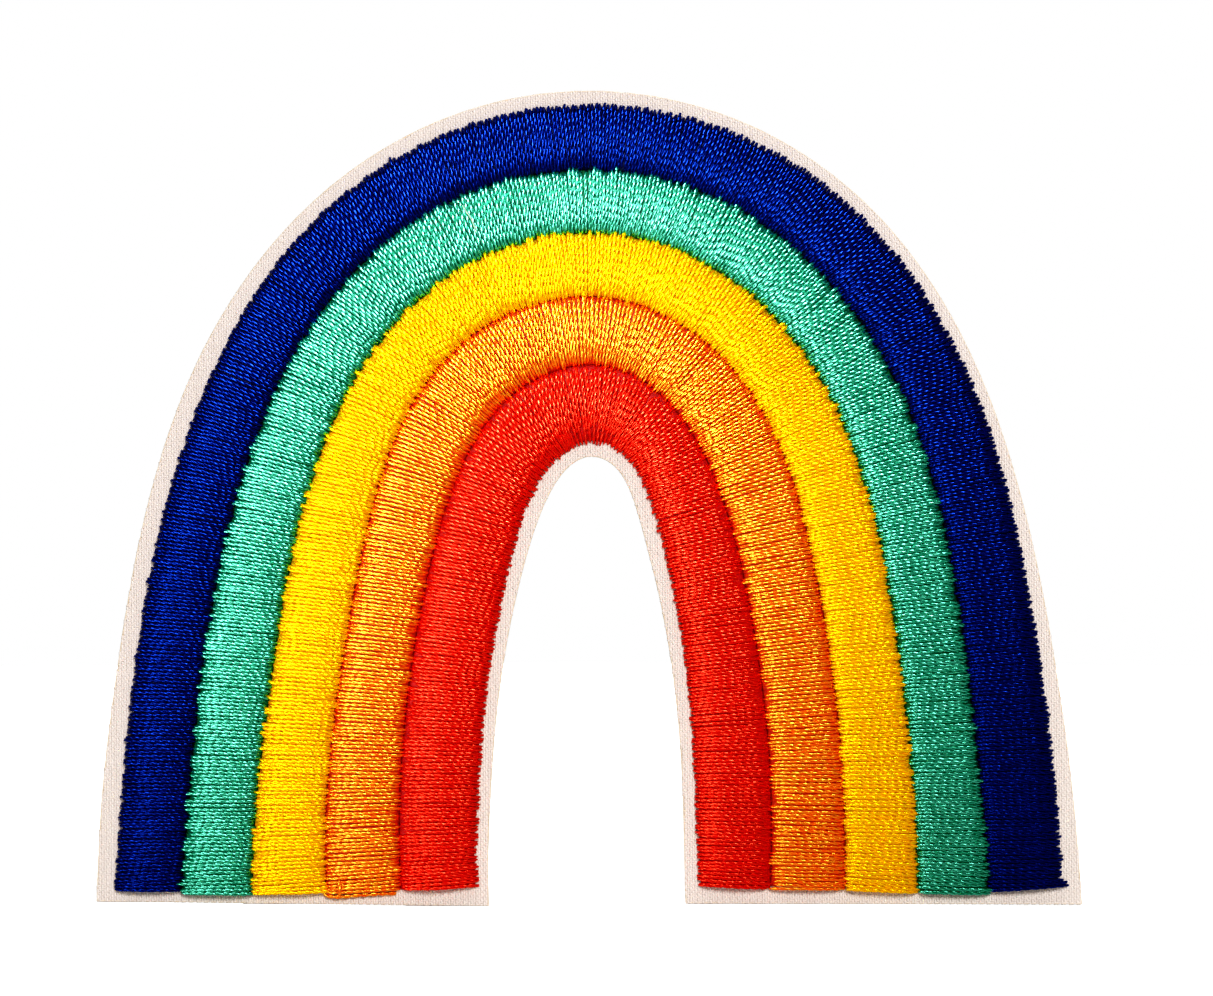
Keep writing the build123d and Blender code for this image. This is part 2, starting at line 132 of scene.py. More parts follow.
# one entry per stitch column: boundary pair, heights of the first and last row
# at the inner and outer edge (left foot, right foot), how far the ends of the
# rows run past the boundary (inner, outer), how much they stagger, how high
# above the twill they come down, crown height, share of rows with a gap
BANDS = {
    "red": dict(inner=EDGE_RED_IN, outer=EDGE_RED_ORANGE, foot_l=(1.35, 1.10), foot_r=(1.45, 1.20),
                over=(0.02, -0.06), stagger=(0.06, 0.10), land=(-0.08, -0.05), crown=0.86, gaps=0.012, round=2.1),
    "orange": dict(inner=EDGE_RED_ORANGE, outer=EDGE_ORANGE_YELLOW, foot_l=(1.10, 0.86), foot_r=(1.15, 1.15),
                   over=(0.02, -0.04), stagger=(0.14, 0.08), land=(0.06, 0.10), crown=0.83, gaps=0.045, fat=0.98),
    "yellow": dict(inner=EDGE_ORANGE_YELLOW, outer=EDGE_YELLOW_GREEN, foot_l=(0.90, 0.82), foot_r=(1.12, 0.96),
                   over=(0.10, 0.10), stagger=(0.10, 0.20), land=(0.22, 0.10), crown=0.86, gaps=0.008, fat=1.15),
    "green": dict(inner=EDGE_YELLOW_GREEN, outer=EDGE_GREEN_BLUE, foot_l=(0.70, 0.86), foot_r=(0.85, 0.85),
                  over=(-0.02, 0.10), stagger=(0.10, 0.19), land=(0.18, 0.14), crown=0.84, gaps=0.045),
    "blue": dict(inner=EDGE_GREEN_BLUE, outer=EDGE_BLUE_OUT, foot_l=(1.00, 1.10), foot_r=(0.95, 1.42),
                 over=(-0.01, 0.04), stagger=(0.08, 0.06), land=(0.14, -0.09), crown=0.86, gaps=0.010, round=2.3),
}
ORDER = ["blue", "green", "yellow", "orange", "red"]
PITCH = 0.285        # spacing of the thread rows at a column's middle
LAY = 1.38           # one full turn of the two plies
PLY_R = 0.106        # half-width of one ply round the twist's axis
PLY_IN = 0.072       # half-width of one ply across it
ORBIT = 0.067        # how far a ply's middle lies from the thread's middle
PROFILE_N = 2.7      # squareness of a column's crown


# ----------------------------------------------------------------------------
# curve helpers
# ----------------------------------------------------------------------------
def resample(p, n):
    s = np.r_[0, np.cumsum(np.hypot(*np.diff(p, axis=0).T))]
    t = np.linspace(0, s[-1], n)
    return np.stack([np.interp(t, s, p[:, 0]), np.interp(t, s, p[:, 1])], 1)


def spline(points, n=1600):
    """Natural cubic spline through the points, evenly sampled."""
    p = np.array(points, float)
    u = np.r_[0, np.cumsum(np.hypot(*np.diff(p, axis=0).T))]
    h = np.diff(u)
    m = len(u)
    a = np.eye(m)
    r = np.zeros((m, 2))
    for i in range(1, m - 1):
        a[i, i - 1], a[i, i], a[i, i + 1] = h[i - 1], 2 * (h[i - 1] + h[i]), h[i]
        r[i] = 6 * ((p[i + 1] - p[i]) / h[i] - (p[i] - p[i - 1]) / h[i - 1])
    dd = np.linalg.solve(a, r)
    t = np.linspace(0, u[-1], 4000)
    k = np.clip(np.searchsorted(u, t) - 1, 0, m - 2)
    w0 = (u[k + 1] - t) / h[k]
    w1 = 1 - w0
    c = (w0[:, None] * p[k] + w1[:, None] * p[k + 1]
         + ((w0 ** 3 - w0)[:, None] * dd[k] + (w1 ** 3 - w1)[:, None] * dd[k + 1]) * (h[k] ** 2)[:, None] / 6)
    return resample(c, n)


def normals(c):
    """Unit normals of an open curve, pointing away from the arch's middle."""
    t = np.gradient(c, axis=0)
    t /= np.linalg.norm(t, axis=1)[:, None]
    return np.stack([-t[:, 1], t[:, 0]], 1)


def smooth(x, k):
    """Moving average with the ends held."""
    if k < 2:
        return x
    pad = np.r_[np.full(k, x[0]), x, np.full(k, x[-1])]
    ker = np.hanning(2 * k + 1)
    ker /= ker.sum()
    return np.convolve(pad, ker, mode="same")[k:-k]


def trim(c, zl, zr):
    """The stretch of a boundary curve above height zl on its left leg and zr on its right."""
    half = len(c) // 2
    i = np.argmax(c[:, 1] >= zl)
    j = len(c) - 1 - np.argmax(c[::-1, 1] >= zr)
    a = c[i - 1] + (c[i] - c[i - 1]) * (zl - c[i - 1, 1]) / (c[i, 1] - c[i - 1, 1]) if i > 0 else c[0]
    b = c[j + 1] + (c[j] - c[j + 1]) * (zr - c[j + 1, 1]) / (c[j, 1] - c[j + 1, 1]) if j < len(c) - 1 else c[-1]
    return resample(np.vstack([a[None], c[i:j + 1], b[None]]), 1200)


# the curves, fitted to the frame: the twill node's box fixes scale and place
C_TIN, C_TOUT = spline(TWILL_INNER), spline(TWILL_OUTER)
tw_lo, tw_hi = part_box("twill_base")
sx = (tw_hi.x - tw_lo.x) / MM / (C_TOUT[:, 0].max() - C_TOUT[:, 0].min())
sz = (tw_hi.z - tw_lo.z) / MM / (C_TOUT[:, 1].max() - min(C_TOUT[:, 1].min(), C_TIN[:, 1].min()))
ox = tw_lo.x / MM - C_TOUT[:, 0].min() * sx
oz = tw_lo.z / MM


def fit(c):
    return np.stack([c[:, 0] * sx + ox, c[:, 1] * sz + oz], 1)


C_TIN, C_TOUT = fit(C_TIN), fit(C_TOUT)
CURVES = {}
for key, band in BANDS.items():
    band["c_in"], band["c_out"] = fit(spline(band["inner"])), fit(spline(band["outer"]))

Y_TWILL = tw_lo.y / MM                       # front face of the twill
Y_TWILL_BACK = tw_hi.y / MM
Y_STAB_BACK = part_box("stabiliser")[1].y / MM
Y_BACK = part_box("heat_seal_film")[1].y / MM


# ----------------------------------------------------------------------------
# mesh helpers
# ----------------------------------------------------------------------------
def add_object(name, verts_mm, faces, uvs, attrs, mat):
    """faces: list of (F, k) index arrays; uvs: matching (F, k, 2) arrays; attrs: name -> per-vertex values."""
    me = bpy.data.meshes.new(name)
    v = np.ascontiguousarray(verts_mm, dtype=np.float32) * MM
    me.vertices.add(len(v))
    me.vertices.foreach_set("co", v.ravel())
    idx = np.concatenate([f.ravel() for f in faces]).astype(np.int32)
    total = np.concatenate([np.full(len(f), f.shape[1]) for f in faces]).astype(np.int32)
    start = np.r_[0, np.cumsum(total)[:-1]].astype(np.int32)
    me.loops.add(len(idx))
    me.loops.foreach_set("vertex_index", idx)
    me.polygons.add(len(total))
    me.polygons.foreach_set("loop_start", start)
    me.polygons.foreach_set("loop_total", total)
    me.polygons.foreach_set("use_smooth", np.ones(len(total), bool))
    me.update(calc_edges=True)
    layer = me.uv_layers.new(name="OFBake")
    layer.data.foreach_set("uv", np.concatenate([u.reshape(-1, 2) for u in uvs]).astype(np.float32).ravel())
    for key, val in attrs.items():
        val = np.asarray(val, np.float32)
        if val.ndim == 1:
            at = me.attributes.new(key, "FLOAT", "POINT")
            at.data.foreach_set("value", val)
        else:
            at = me.attributes.new(key, "FLOAT_VECTOR", "POINT")
            at.data.foreach_set("vector", val.ravel())
    me.materials.append(mat)
    ob = bpy.data.objects.new(name, me)
    bpy.context.scene.collection.objects.link(ob)
    return ob


def sweep_rows(centre, nrm, bin_, rad_n, rad_b, ring, s_mm, tint, phi=None):
    """Tubes of equal sample count. centre, nrm, bin_: (R, n, 3); rad_n, rad_b: (R, n) or scalars;
    ring: number of sides. Returns verts, faces, uvs, attrs for add_object."""
    R, n, _ = centre.shape
    a = (np.arange(ring) + 0.5) / ring * 2 * np.pi + np.pi    # the seam lies underneath
    rn = np.broadcast_to(rad_n, (R, n))[..., None, None]
    rb = np.broadcast_to(rad_b, (R, n))[..., None, None]
    if phi is None:
        verts = (centre[:, :, None, :] + rn * np.cos(a)[None, None, :, None] * nrm[:, :, None, :]
                 + rb * np.sin(a)[None, None, :, None] * bin_[:, :, None, :])
    else:       # rad_n across the twist's axis, rad_b round it
        cp, sp = np.cos(phi)[..., None, None], np.sin(phi)[..., None, None]
        e_r = cp * nrm[:, :, None, :] + sp * bin_[:, :, None, :]
        e_t = -sp * nrm[:, :, None, :] + cp * bin_[:, :, None, :]
        rel = a[None, None, :] - phi[..., None]
        verts = centre[:, :, None, :] + rn * np.cos(rel)[..., None] * e_r + rb * np.sin(rel)[..., None] * e_t
    base = (np.arange(R) * n * ring)[:, None, None] + (np.arange(n - 1) * ring)[None, :, None]
    j = np.arange(ring)[None, None, :]
    j2 = (j + 1) % ring
    quads = np.stack([base + j, base + j2, base + ring + j2, base + ring + j], -1).reshape(-1, 4)
    cap0 = (np.arange(R) * n * ring)[:, None] + np.arange(ring)[::-1][None, :]
    cap1 = (np.arange(R) * n * ring)[:, None] + (n - 1) * ring + np.arange(ring)[None, :]
    # one thin uv strip per tube
    v0 = (np.arange(R) + 0.06) / R
    dv = 0.88 / R
    uu = 0.004 + 0.992 * s_mm / s_mm.max(axis=1, keepdims=True)
    u_a, u_b = uu[:, :-1], uu[:, 1:]
    vj = v0[:, None] + dv * (np.arange(ring) / ring)[None, :]
    vj2 = v0[:, None] + dv * ((np.arange(ring) + 1) / ring)[None, :]
    U = np.empty((R, n - 1, ring, 4, 2))
    U[..., 0, 0] = u_a[:, :, None]; U[..., 1, 0] = u_a[:, :, None]
    U[..., 2, 0] = u_b[:, :, None]; U[..., 3, 0] = u_b[:, :, None]
    U[..., 0, 1] = vj[:, None, :]; U[..., 1, 1] = vj2[:, None, :]
    U[..., 2, 1] = vj2[:, None, :]; U[..., 3, 1] = vj[:, None, :]
    cu0 = np.empty((R, ring, 2)); cu1 = np.empty((R, ring, 2))
    ca = np.cos(a) * 0.5 + 0.5
    cu0[..., 0] = 0.003 * ca[None, ::-1]; cu1[..., 0] = 0.997 + 0.003 * ca[None, :]
    cu0[..., 1] = vj[:, ::-1]; cu1[..., 1] = vj
    fib = np.empty((R, n, ring, 3))
    fib[..., 0] = s_mm[:, :, None]
    fib[..., 1] = (np.arange(ring) / ring)[None, None, :]
    fib[..., 2] = np.arange(R)[:, None, None] * 1.37
    tints = np.broadcast_to(np.asarray(tint).reshape(R, -1, 1), (R, n, ring)) if np.ndim(tint) else np.full((R, n, ring), tint)
    return (verts.reshape(-1, 3), [quads, cap0, cap1], [U.reshape(-1, 4, 2), cu0, cu1],
            {"fib": fib.reshape(-1, 3), "tint": tints.reshape(-1)})


def polytube(paths, r, ring, squash=1.0):
    """Separate tubes along 3-D polylines of any length, in mm. r may be a list of arrays."""
    verts, quads, caps, uvq, uvc, fib, tint = [], [], [], [], [], [], []
    off = 0
    N = len(paths)
    for k, p in enumerate(paths):
        p = np.asarray(p, float)
        n = len(p)
        t = np.gradient(p, axis=0)
        t /= np.linalg.norm(t, axis=1)[:, None] + 1e-12
        ref = np.array([0.0, -1.0, 0.0])
        b = np.cross(t, ref)
        bl = np.linalg.norm(b, axis=1)
        b[bl < 1e-3] = [1, 0, 0]
        b /= np.linalg.norm(b, axis=1)[:, None]
        nn = np.cross(b, t)
        rr = np.broadcast_to(r[k] if isinstance(r, (list, tuple)) else r, (n,))
        a = (np.arange(ring) + 0.5) / ring * 2 * np.pi + np.pi
        vv = (p[:, None, :] + rr[:, None, None] * squash * np.cos(a)[None, :, None] * nn[:, None, :]
              + rr[:, None, None] * np.sin(a)[None, :, None] * b[:, None, :])
        verts.append(vv.reshape(-1, 3))
        i = np.arange(n - 1)[:, None] * ring + off
        j = np.arange(ring)[None, :]
        j2 = (j + 1) % ring
        quads.append(np.stack([i + j, i + j2, i + ring + j2, i + ring + j], -1).reshape(-1, 4))
        caps.append(off + np.arange(ring)[::-1])
        caps.append(off + (n - 1) * ring + np.arange(ring))
        s = np.r_[0, np.cumsum(np.linalg.norm(np.diff(p, axis=0), axis=1))]
        su = 0.004 + 0.992 * s / s[-1]
        v0, dv = (k + 0.06) / N, 0.88 / N
        va, vb = v0 + dv * np.arange(ring) / ring, v0 + dv * (np.arange(ring) + 1) / ring
        u4 = np.empty((n - 1, ring, 4, 2))
        u4[..., 0, 0] = su[:-1, None]; u4[..., 1, 0] = su[:-1, None]
        u4[..., 2, 0] = su[1:, None]; u4[..., 3, 0] = su[1:, None]
        u4[..., 0, 1] = va; u4[..., 1, 1] = vb; u4[..., 2, 1] = vb; u4[..., 3, 1] = va
        uvq.append(u4.reshape(-1, 4, 2))
        c0 = np.stack([np.full(ring, 0.002), va[::-1]], 1)
        c1 = np.stack([np.full(ring, 0.998), va], 1)
        uvc += [c0, c1]
        f = np.empty((n, ring, 3))
        f[..., 0] = s[:, None]; f[..., 1] = (np.arange(ring) / ring)[None, :]; f[..., 2] = k * 1.37
        fib.append(f.reshape(-1, 3))
        tint.append(np.full(n * ring, rng.normal(0, 1)))
        off += n * ring
    return (np.concatenate(verts), [np.concatenate(quads), np.array(caps)],
            [np.concatenate(uvq), np.array(uvc)],
            {"fib": np.concatenate(fib), "tint": np.concatenate(tint)})


def loft_rings(rings, wrap=False):
    """Closed skin over rings (n, m, 3), with flat end caps unless it wraps round."""
    n, m, _ = rings.shape
    i = np.arange(n if wrap else n - 1)[:, None] * m
    i2 = (i + m) % (n * m)
    j = np.arange(m)[None, :]
    j2 = (j + 1) % m
    quads = np.stack([i + j, i + j2, i2 + j2, i2 + j], -1).reshape(-1, 4)
    nq = n if wrap else n - 1
    U = np.empty((nq, m, 4, 2))
    ua = np.arange(nq)[:, None] / nq
    ub = (np.arange(nq)[:, None] + 1) / nq
    va, vb = np.arange(m)[None, :] / m, (np.arange(m)[None, :] + 1) / m
    U[..., 0, 0] = ua; U[..., 1, 0] = ua; U[..., 2, 0] = ub; U[..., 3, 0] = ub
    U[..., 0, 1] = va; U[..., 1, 1] = vb; U[..., 2, 1] = vb; U[..., 3, 1] = va
    U = 0.004 + 0.992 * U
    faces, uvs = [quads], [U.reshape(-1, 4, 2)]
    if not wrap:
        caps = np.stack([np.arange(m)[::-1], (n - 1) * m + np.arange(m)])
        cu = np.zeros((2, m, 2))
        cu[0, :, 1] = (np.arange(m)[::-1] + 0.5) / m
        cu[1, :, 1] = (np.arange(m) + 0.5) / m
        cu[0, :, 0], cu[1, :, 0] = 0.002, 0.998
        faces.append(caps)
        uvs.append(cu)
    return rings.reshape(-1, 3), faces, uvs


# ----------------------------------------------------------------------------
# materials
# ----------------------------------------------------------------------------
class Nodes:
    def __init__(self, name):
        self.mat = bpy.data.materials.new(name)
        self.mat.use_nodes = True
        self.nt = self.mat.node_tree
        self.p = self.nt.nodes["Principled BSDF"]

    def new(self, kind, **props):
        n = self.nt.nodes.new(kind)
        for k, v in props.items():
            setattr(n, k, v)
        return n

    def link(self, a, b):
        self.nt.links.new(a, b)

    def math(self, op, a, b=None, clamp=False):
        n = self.new("ShaderNodeMath", operation=op, use_clamp=clamp)
        for i, x in enumerate((a, b)):
            if x is None:
                continue
            if isinstance(x, (int, float)):
                n.inputs[i].default_value = x
            else:
                self.link(x, n.inputs[i])
        return n.outputs[0]

    def attr(self, name):
        return self.new("ShaderNodeAttribute", attribute_name=name)

    def mix(self, fac, a, b, blend="MIX"):
        n = self.new("ShaderNodeMix", data_type="RGBA", blend_type=blend)
        for sock, x in ((n.inputs[0], fac), (n.inputs[6], a), (n.inputs[7], b)):
            if isinstance(x, (int, float)):
                sock.default_value = x
            elif isinstance(x, tuple):
                sock.default_value = (*x, 1.0)
            else:
                self.link(x, sock)
        return n.outputs[2]

    def noise(self, vector, scale, detail=2.0, rough=0.5):
        n = self.new("ShaderNodeTexNoise")
        n.inputs["Scale"].default_value = scale
        n.inputs["Detail"].default_value = detail
        n.inputs["Roughness"].default_value = rough
        if vector is not None:
            self.link(vector, n.inputs["Vector"])
        return n.outputs["Fac"]

    def ramp(self, fac, lo, hi, a, b):
        n = self.new("ShaderNodeMapRange")
        self.link(fac, n.inputs["Value"])
        for k, v in zip(("From Min", "From Max", "To Min", "To Max"), (lo, hi, a, b)):
            n.inputs[k].default_value = v
        return n.outputs["Result"]

    def scaled(self, vec, s):
        n = self.new("ShaderNodeVectorMath", operation="MULTIPLY")
        self.link(vec, n.inputs[0])
        n.inputs[1].default_value = s
        return n.outputs[0]


def thread_material(name, deep, mid, bright, gleam, rough=0.215, spec=1.0):
    """Shiny two-ply thread: hue shifts a little from row to row, fine filaments along each ply."""
    m = Nodes(name)
    tint = m.attr("tint").outputs["Fac"]
    fib = m.attr("fib").outputs["Vector"]
    slow = m.noise(m.scaled(fib, (0.9, 0.0, 1.0)), 1.3, 2.0)
    filaments = m.noise(m.scaled(fib, (1.2, 34.0, 3.1)), 1.0, 3.0, 0.6)
    f1 = m.ramp(tint, -2.0, 2.0, 0.0, 1.0)
    f2 = m.math("ADD", m.math("MULTIPLY", f1, 0.55), m.math("MULTIPLY", slow, 0.45))
    col = m.mix(f2, deep, mid)
    col = m.mix(m.ramp(filaments, 0.42, 0.72, 0.0, 0.55), col, bright)
    m.link(col, m.p.inputs["Base Color"])
    r = m.math("ADD", m.math("MULTIPLY", slow, 0.14), m.math("ADD", m.math("MULTIPLY", filaments, 0.10), rough - 0.12))
    m.link(r, m.p.inputs["Roughness"])
    m.p.inputs["IOR"].default_value = 3.0
    sparkle = m.noise(m.scaled(fib, (1.6, 0.0, 5.7)), 1.0, 1.0)
    m.link(m.ramp(sparkle, 0.35, 0.65, 0.35 * spec, spec), m.p.inputs["Specular IOR Level"])
    m.p.inputs["Specular Tint"].default_value = (*gleam, 1)
    m.p.inputs["Anisotropic"].default_value = 0.85
    m.p.inputs["Anisotropic Rotation"].default_value = 0.25
    tan = m.new("ShaderNodeTangent", direction_type="UV_MAP", uv_map="OFBake")
    m.link(tan.outputs[0], m.p.inputs["Tangent"])
    bump = m.new("ShaderNodeBump")
    bump.inputs["Strength"].default_value = 0.35
    bump.inputs["Distance"].default_value = 0.010 * MM
    m.link(filaments, bump.inputs["Height"])
    m.link(bump.outputs[0], m.p.inputs["Normal"])
    return m.mat


def srgb(r, g, b):
    def f(c):
        c /= 255
        return c / 12.92 if c <= 0.04045 else ((c + 0.055) / 1.055) ** 2.4
    return (f(r), f(g), f(b))


THREAD = {
    "blue": thread_material("thread_blue_shiny", srgb(0, 3, 54), srgb(0, 5, 67), srgb(0, 10, 84), (0.014, 0.056, 0.36)),
    "green": thread_material("thread_green_shiny", srgb(0, 94, 64), srgb(0, 120, 84), srgb(2, 142, 102), (0.28, 1.0, 0.76)),
    "yellow": thread_material("thread_yellow_shiny", srgb(243, 156, 0), srgb(248, 171, 0), srgb(251, 186, 0), (1.0, 0.94, 0.02)),
    "orange": thread_material("thread_orange_shiny", srgb(230, 42, 0), srgb(240, 70, 0), srgb(248, 98, 0), (1.0, 0.88, 0.10)),
    "red": thread_material("thread_red_shiny", srgb(190, 0, 0), srgb(216, 0, 0), srgb(234, 2, 1), (1.0, 0.13, 0.062)),
}


def pad_material(name, dark, mid):
    """Padding stitches seen only through the gaps between rows: same thread, matt. Their colour is painted shade,
    darker than the thread for the shade between rows, and for yellow a painted glow, lighter than the thread.
    """
    m = Nodes(name)
    geo = m.new("ShaderNodeNewGeometry")
    n1 = m.noise(m.scaled(geo.outputs["Position"], (1400.0, 400.0, 3400.0)), 1.0, 3.0, 0.6)
    col = m.mix(m.ramp(n1, 0.3, 0.7, 0.0, 1.0), dark, mid)
    m.link(col, m.p.inputs["Base Color"])
    m.link(m.ramp(n1, 0.3, 0.7, 0.75, 0.6), m.p.inputs["Roughness"])
    m.p.inputs["Specular IOR Level"].default_value = 0.25
    bump = m.new("ShaderNodeBump")
    bump.inputs["Strength"].default_value = 0.5
    bump.inputs["Distance"].default_value = 0.03 * MM
    m.link(n1, bump.inputs["Height"])
    m.link(bump.outputs[0], m.p.inputs["Normal"])
    return m.mat


# pad colours are painted light and shade: each pad is darker than its thread to stand for the shade in the gaps between
# rows; the yellow pad is painted lighter than its thread for light glowing through the yellow rows
PAD_PAINTED_SHADE_GLOW = {
    "blue": pad_material("pad_blue_painted_shade", srgb(0, 0, 36), srgb(2, 4, 70)),
    "green": pad_material("pad_green_painted_shade", srgb(0, 70, 36), srgb(4, 118, 72)),
    "yellow": pad_material("pad_yellow_painted_glow", srgb(240, 176, 0), srgb(252, 206, 0)),
    "orange": pad_material("pad_orange_painted_shade", srgb(160, 20, 0), srgb(206, 56, 0)),
    "red": pad_material("pad_red_painted_shade", srgb(150, 0, 0), srgb(205, 2, 1)),
}


def yarn_material(name, lo, hi, rough=0.78):
    """Matt spun polyester yarn, warm white, with faint slubs and fibre streaks."""
    m = Nodes(name)
    tint = m.attr("tint").outputs["Fac"]
    fib = m.attr("fib").outputs["Vector"]
    slub = m.noise(m.scaled(fib, (1.1, 0.4, 2.3)), 1.0, 3.0, 0.55)
    hair = m.noise(m.scaled(fib, (2.6, 18.0, 1.0)), 1.0, 2.0, 0.6)
    f = m.math("ADD", m.math("MULTIPLY", m.ramp(tint, -2.0, 2.0, 0.0, 1.0), 0.4), m.math("MULTIPLY", slub, 0.6))
    col = m.mix(f, lo, hi)
    m.link(col, m.p.inputs["Base Color"])
    m.link(m.ramp(hair, 0.3, 0.7, rough - 0.08, rough + 0.08), m.p.inputs["Roughness"])
    m.p.inputs["Specular IOR Level"].default_value = 0.3
    m.p.inputs["Sheen Weight"].default_value = 0.25
    m.p.inputs["Sheen Roughness"].default_value = 0.5
    bump = m.new("ShaderNodeBump")
    bump.inputs["Strength"].default_value = 0.4
    bump.inputs["Distance"].default_value = 0.012 * MM
    m.link(hair, bump.inputs["Height"])
    m.link(bump.outputs[0], m.p.inputs["Normal"])
    return m.mat


YARN = yarn_material("twill_yarn", srgb(226, 212, 203), srgb(242, 231, 223))
WEFT = yarn_material("twill_weft_yarn", srgb(220, 204, 194), srgb(238, 226, 217))
BOBBIN = yarn_material("bobbin_white", srgb(226, 226, 224), srgb(246, 246, 244), rough=0.62)
STRAY = yarn_material("stray_fibre", srgb(186, 226, 196), srgb(214, 240, 214), rough=0.5)


def plain_material(name, lo, hi, rough_lo, rough_hi, scale, bump_mm, spec=0.3, alpha=None, stretch=(1, 1, 1)):
    """Slightly uneven surface driven by one noise, in world position."""
    m = Nodes(name)
    geo = m.new("ShaderNodeNewGeometry")
    pos = m.scaled(geo.outputs["Position"], tuple(1000.0 * s for s in stretch))
    n1 = m.noise(pos, scale, 4.0, 0.6)
    m.link(m.mix(m.ramp(n1, 0.3, 0.7, 0.0, 1.0), lo, hi), m.p.inputs["Base Color"])
    m.link(m.ramp(n1, 0.3, 0.7, rough_lo, rough_hi), m.p.inputs["Roughness"])
    m.p.inputs["Specular IOR Level"].default_value = spec
    if alpha is not None:
        m.p.inputs["Alpha"].default_value = alpha
    bump = m.new("ShaderNodeBump")
    bump.inputs["Strength"].default_value = 0.6
    bump.inputs["Distance"].default_value = bump_mm * MM
    m.link(n1, bump.inputs["Height"])
    m.link(bump.outputs[0], m.p.inputs["Normal"])
    return m.mat


EDGE_MAT = plain_material("heat_cut_edge", srgb(214, 190, 160), srgb(240, 226, 206), 0.35, 0.6, 2.2, 0.03, 0.45)
STAB_MAT = plain_material("nonwoven_sheet", srgb(222, 220, 216), srgb(244, 243, 240), 0.8, 0.95, 3.0, 0.05, 0.2, stretch=(1, 1, 2.5))
CORE_MAT = plain_material("twill_core", srgb(214, 202, 192), srgb(234, 224, 216), 0.8, 0.9, 4.0, 0.03, 0.2)
FILM_MAT = plain_material("heat_seal_film", srgb(226, 226, 218), srgb(244, 244, 238), 0.22, 0.42, 0.9, 0.03, 0.5, alpha=0.42)


# ----------------------------------------------------------------------------
# stitch columns
# ----------------------------------------------------------------------------
def pair_curves(c_in, c_out):
    """For even steps along the inner edge, the outer point that is squarest to it; monotone and smooth."""
    n = 601
    a, b = resample(c_in, n), resample(c_out, 1201)
    ta, tb = np.gradient(a, axis=0), np.gradient(b, axis=0)
    ta /= np.linalg.norm(ta, axis=1)[:, None]
    tb /= np.linalg.norm(tb, axis=1)[:, None]
    f = np.zeros(n)
    for i in range(n):
        g = i / (n - 1)
        lo, hi = int(max(0, (g - 0.14) * 1200)), int(min(1200, (g + 0.14) * 1200)) + 1
        d = b[lo:hi] - a[i]
        d /= np.linalg.norm(d, axis=1)[:, None]
        skew = np.abs(d @ ta[i] + (d * tb[lo:hi]).sum(1))
        f[i] = (lo + skew.argmin()) / 1200
    g = np.linspace(0, 1, n)
    # ease to the foot line at both ends
    w = np.clip(np.minimum(g, 1 - g) / 0.06, 0, 1)
    w = w * w * (3 - 2 * w)
    f = g * (1 - w) + f * w
    f[0], f[-1] = 0, 1
    f = np.maximum.accumulate(smooth(f, 14))
    f = (f - f[0]) / (f[-1] - f[0])
    s = np.linspace(0, 1, 1201)
    o = np.stack([np.interp(f, s, b[:, 0]), np.interp(f, s, b[:, 1])], 1)
    m = (a + o) / 2
    length = np.r_[0, np.cumsum(np.hypot(*np.diff(m, axis=0).T))]
    return a, o, length


def at(curve, length, s):
    return np.stack([np.interp(s, length, curve[:, 0]), np.interp(s, length, curve[:, 1])], 1)


def crown(u, n=PROFILE_N):
    return np.sqrt(np.clip(1 - np.abs(u) ** n, 0, 1))


def end_taper(s, total, reach=1.5, low=0.66):
    t = np.clip(np.minimum(s, total - s) / reach, 0, 1)
    return low + (1 - low) * (t * t * (3 - 2 * t))


def smooth_noise(n, k, amp):
    return smooth(rng.normal(0, 1, n), k) * amp * math.sqrt(k) * 0.9


for name, band in BANDS.items():
    ci = trim(band["c_in"], band["foot_l"][0], band["foot_r"][0])
    co = trim(band["c_out"], band["foot_l"][1], band["foot_r"][1])
    band["a"], band["o"], band["len"] = pair_curves(ci, co)


def stations(band):
    """Needle positions along the column's middle line, with small unevenness and a few gaps."""
    total = band["len"][-1] - 0.16
    n = int(total / PITCH)
    step = np.ones(n) + rng.normal(0, 0.07, n) + smooth_noise(n, 9, 0.03)
    gap = rng.random(n) < band["gaps"]
    step[gap] += rng.uniform(0.15, 0.42, gap.sum())
    step = np.clip(step, 0.55, 1.7)
    s = np.r_[0, np.cumsum(step)]
    return 0.08 + s / s[-1] * total


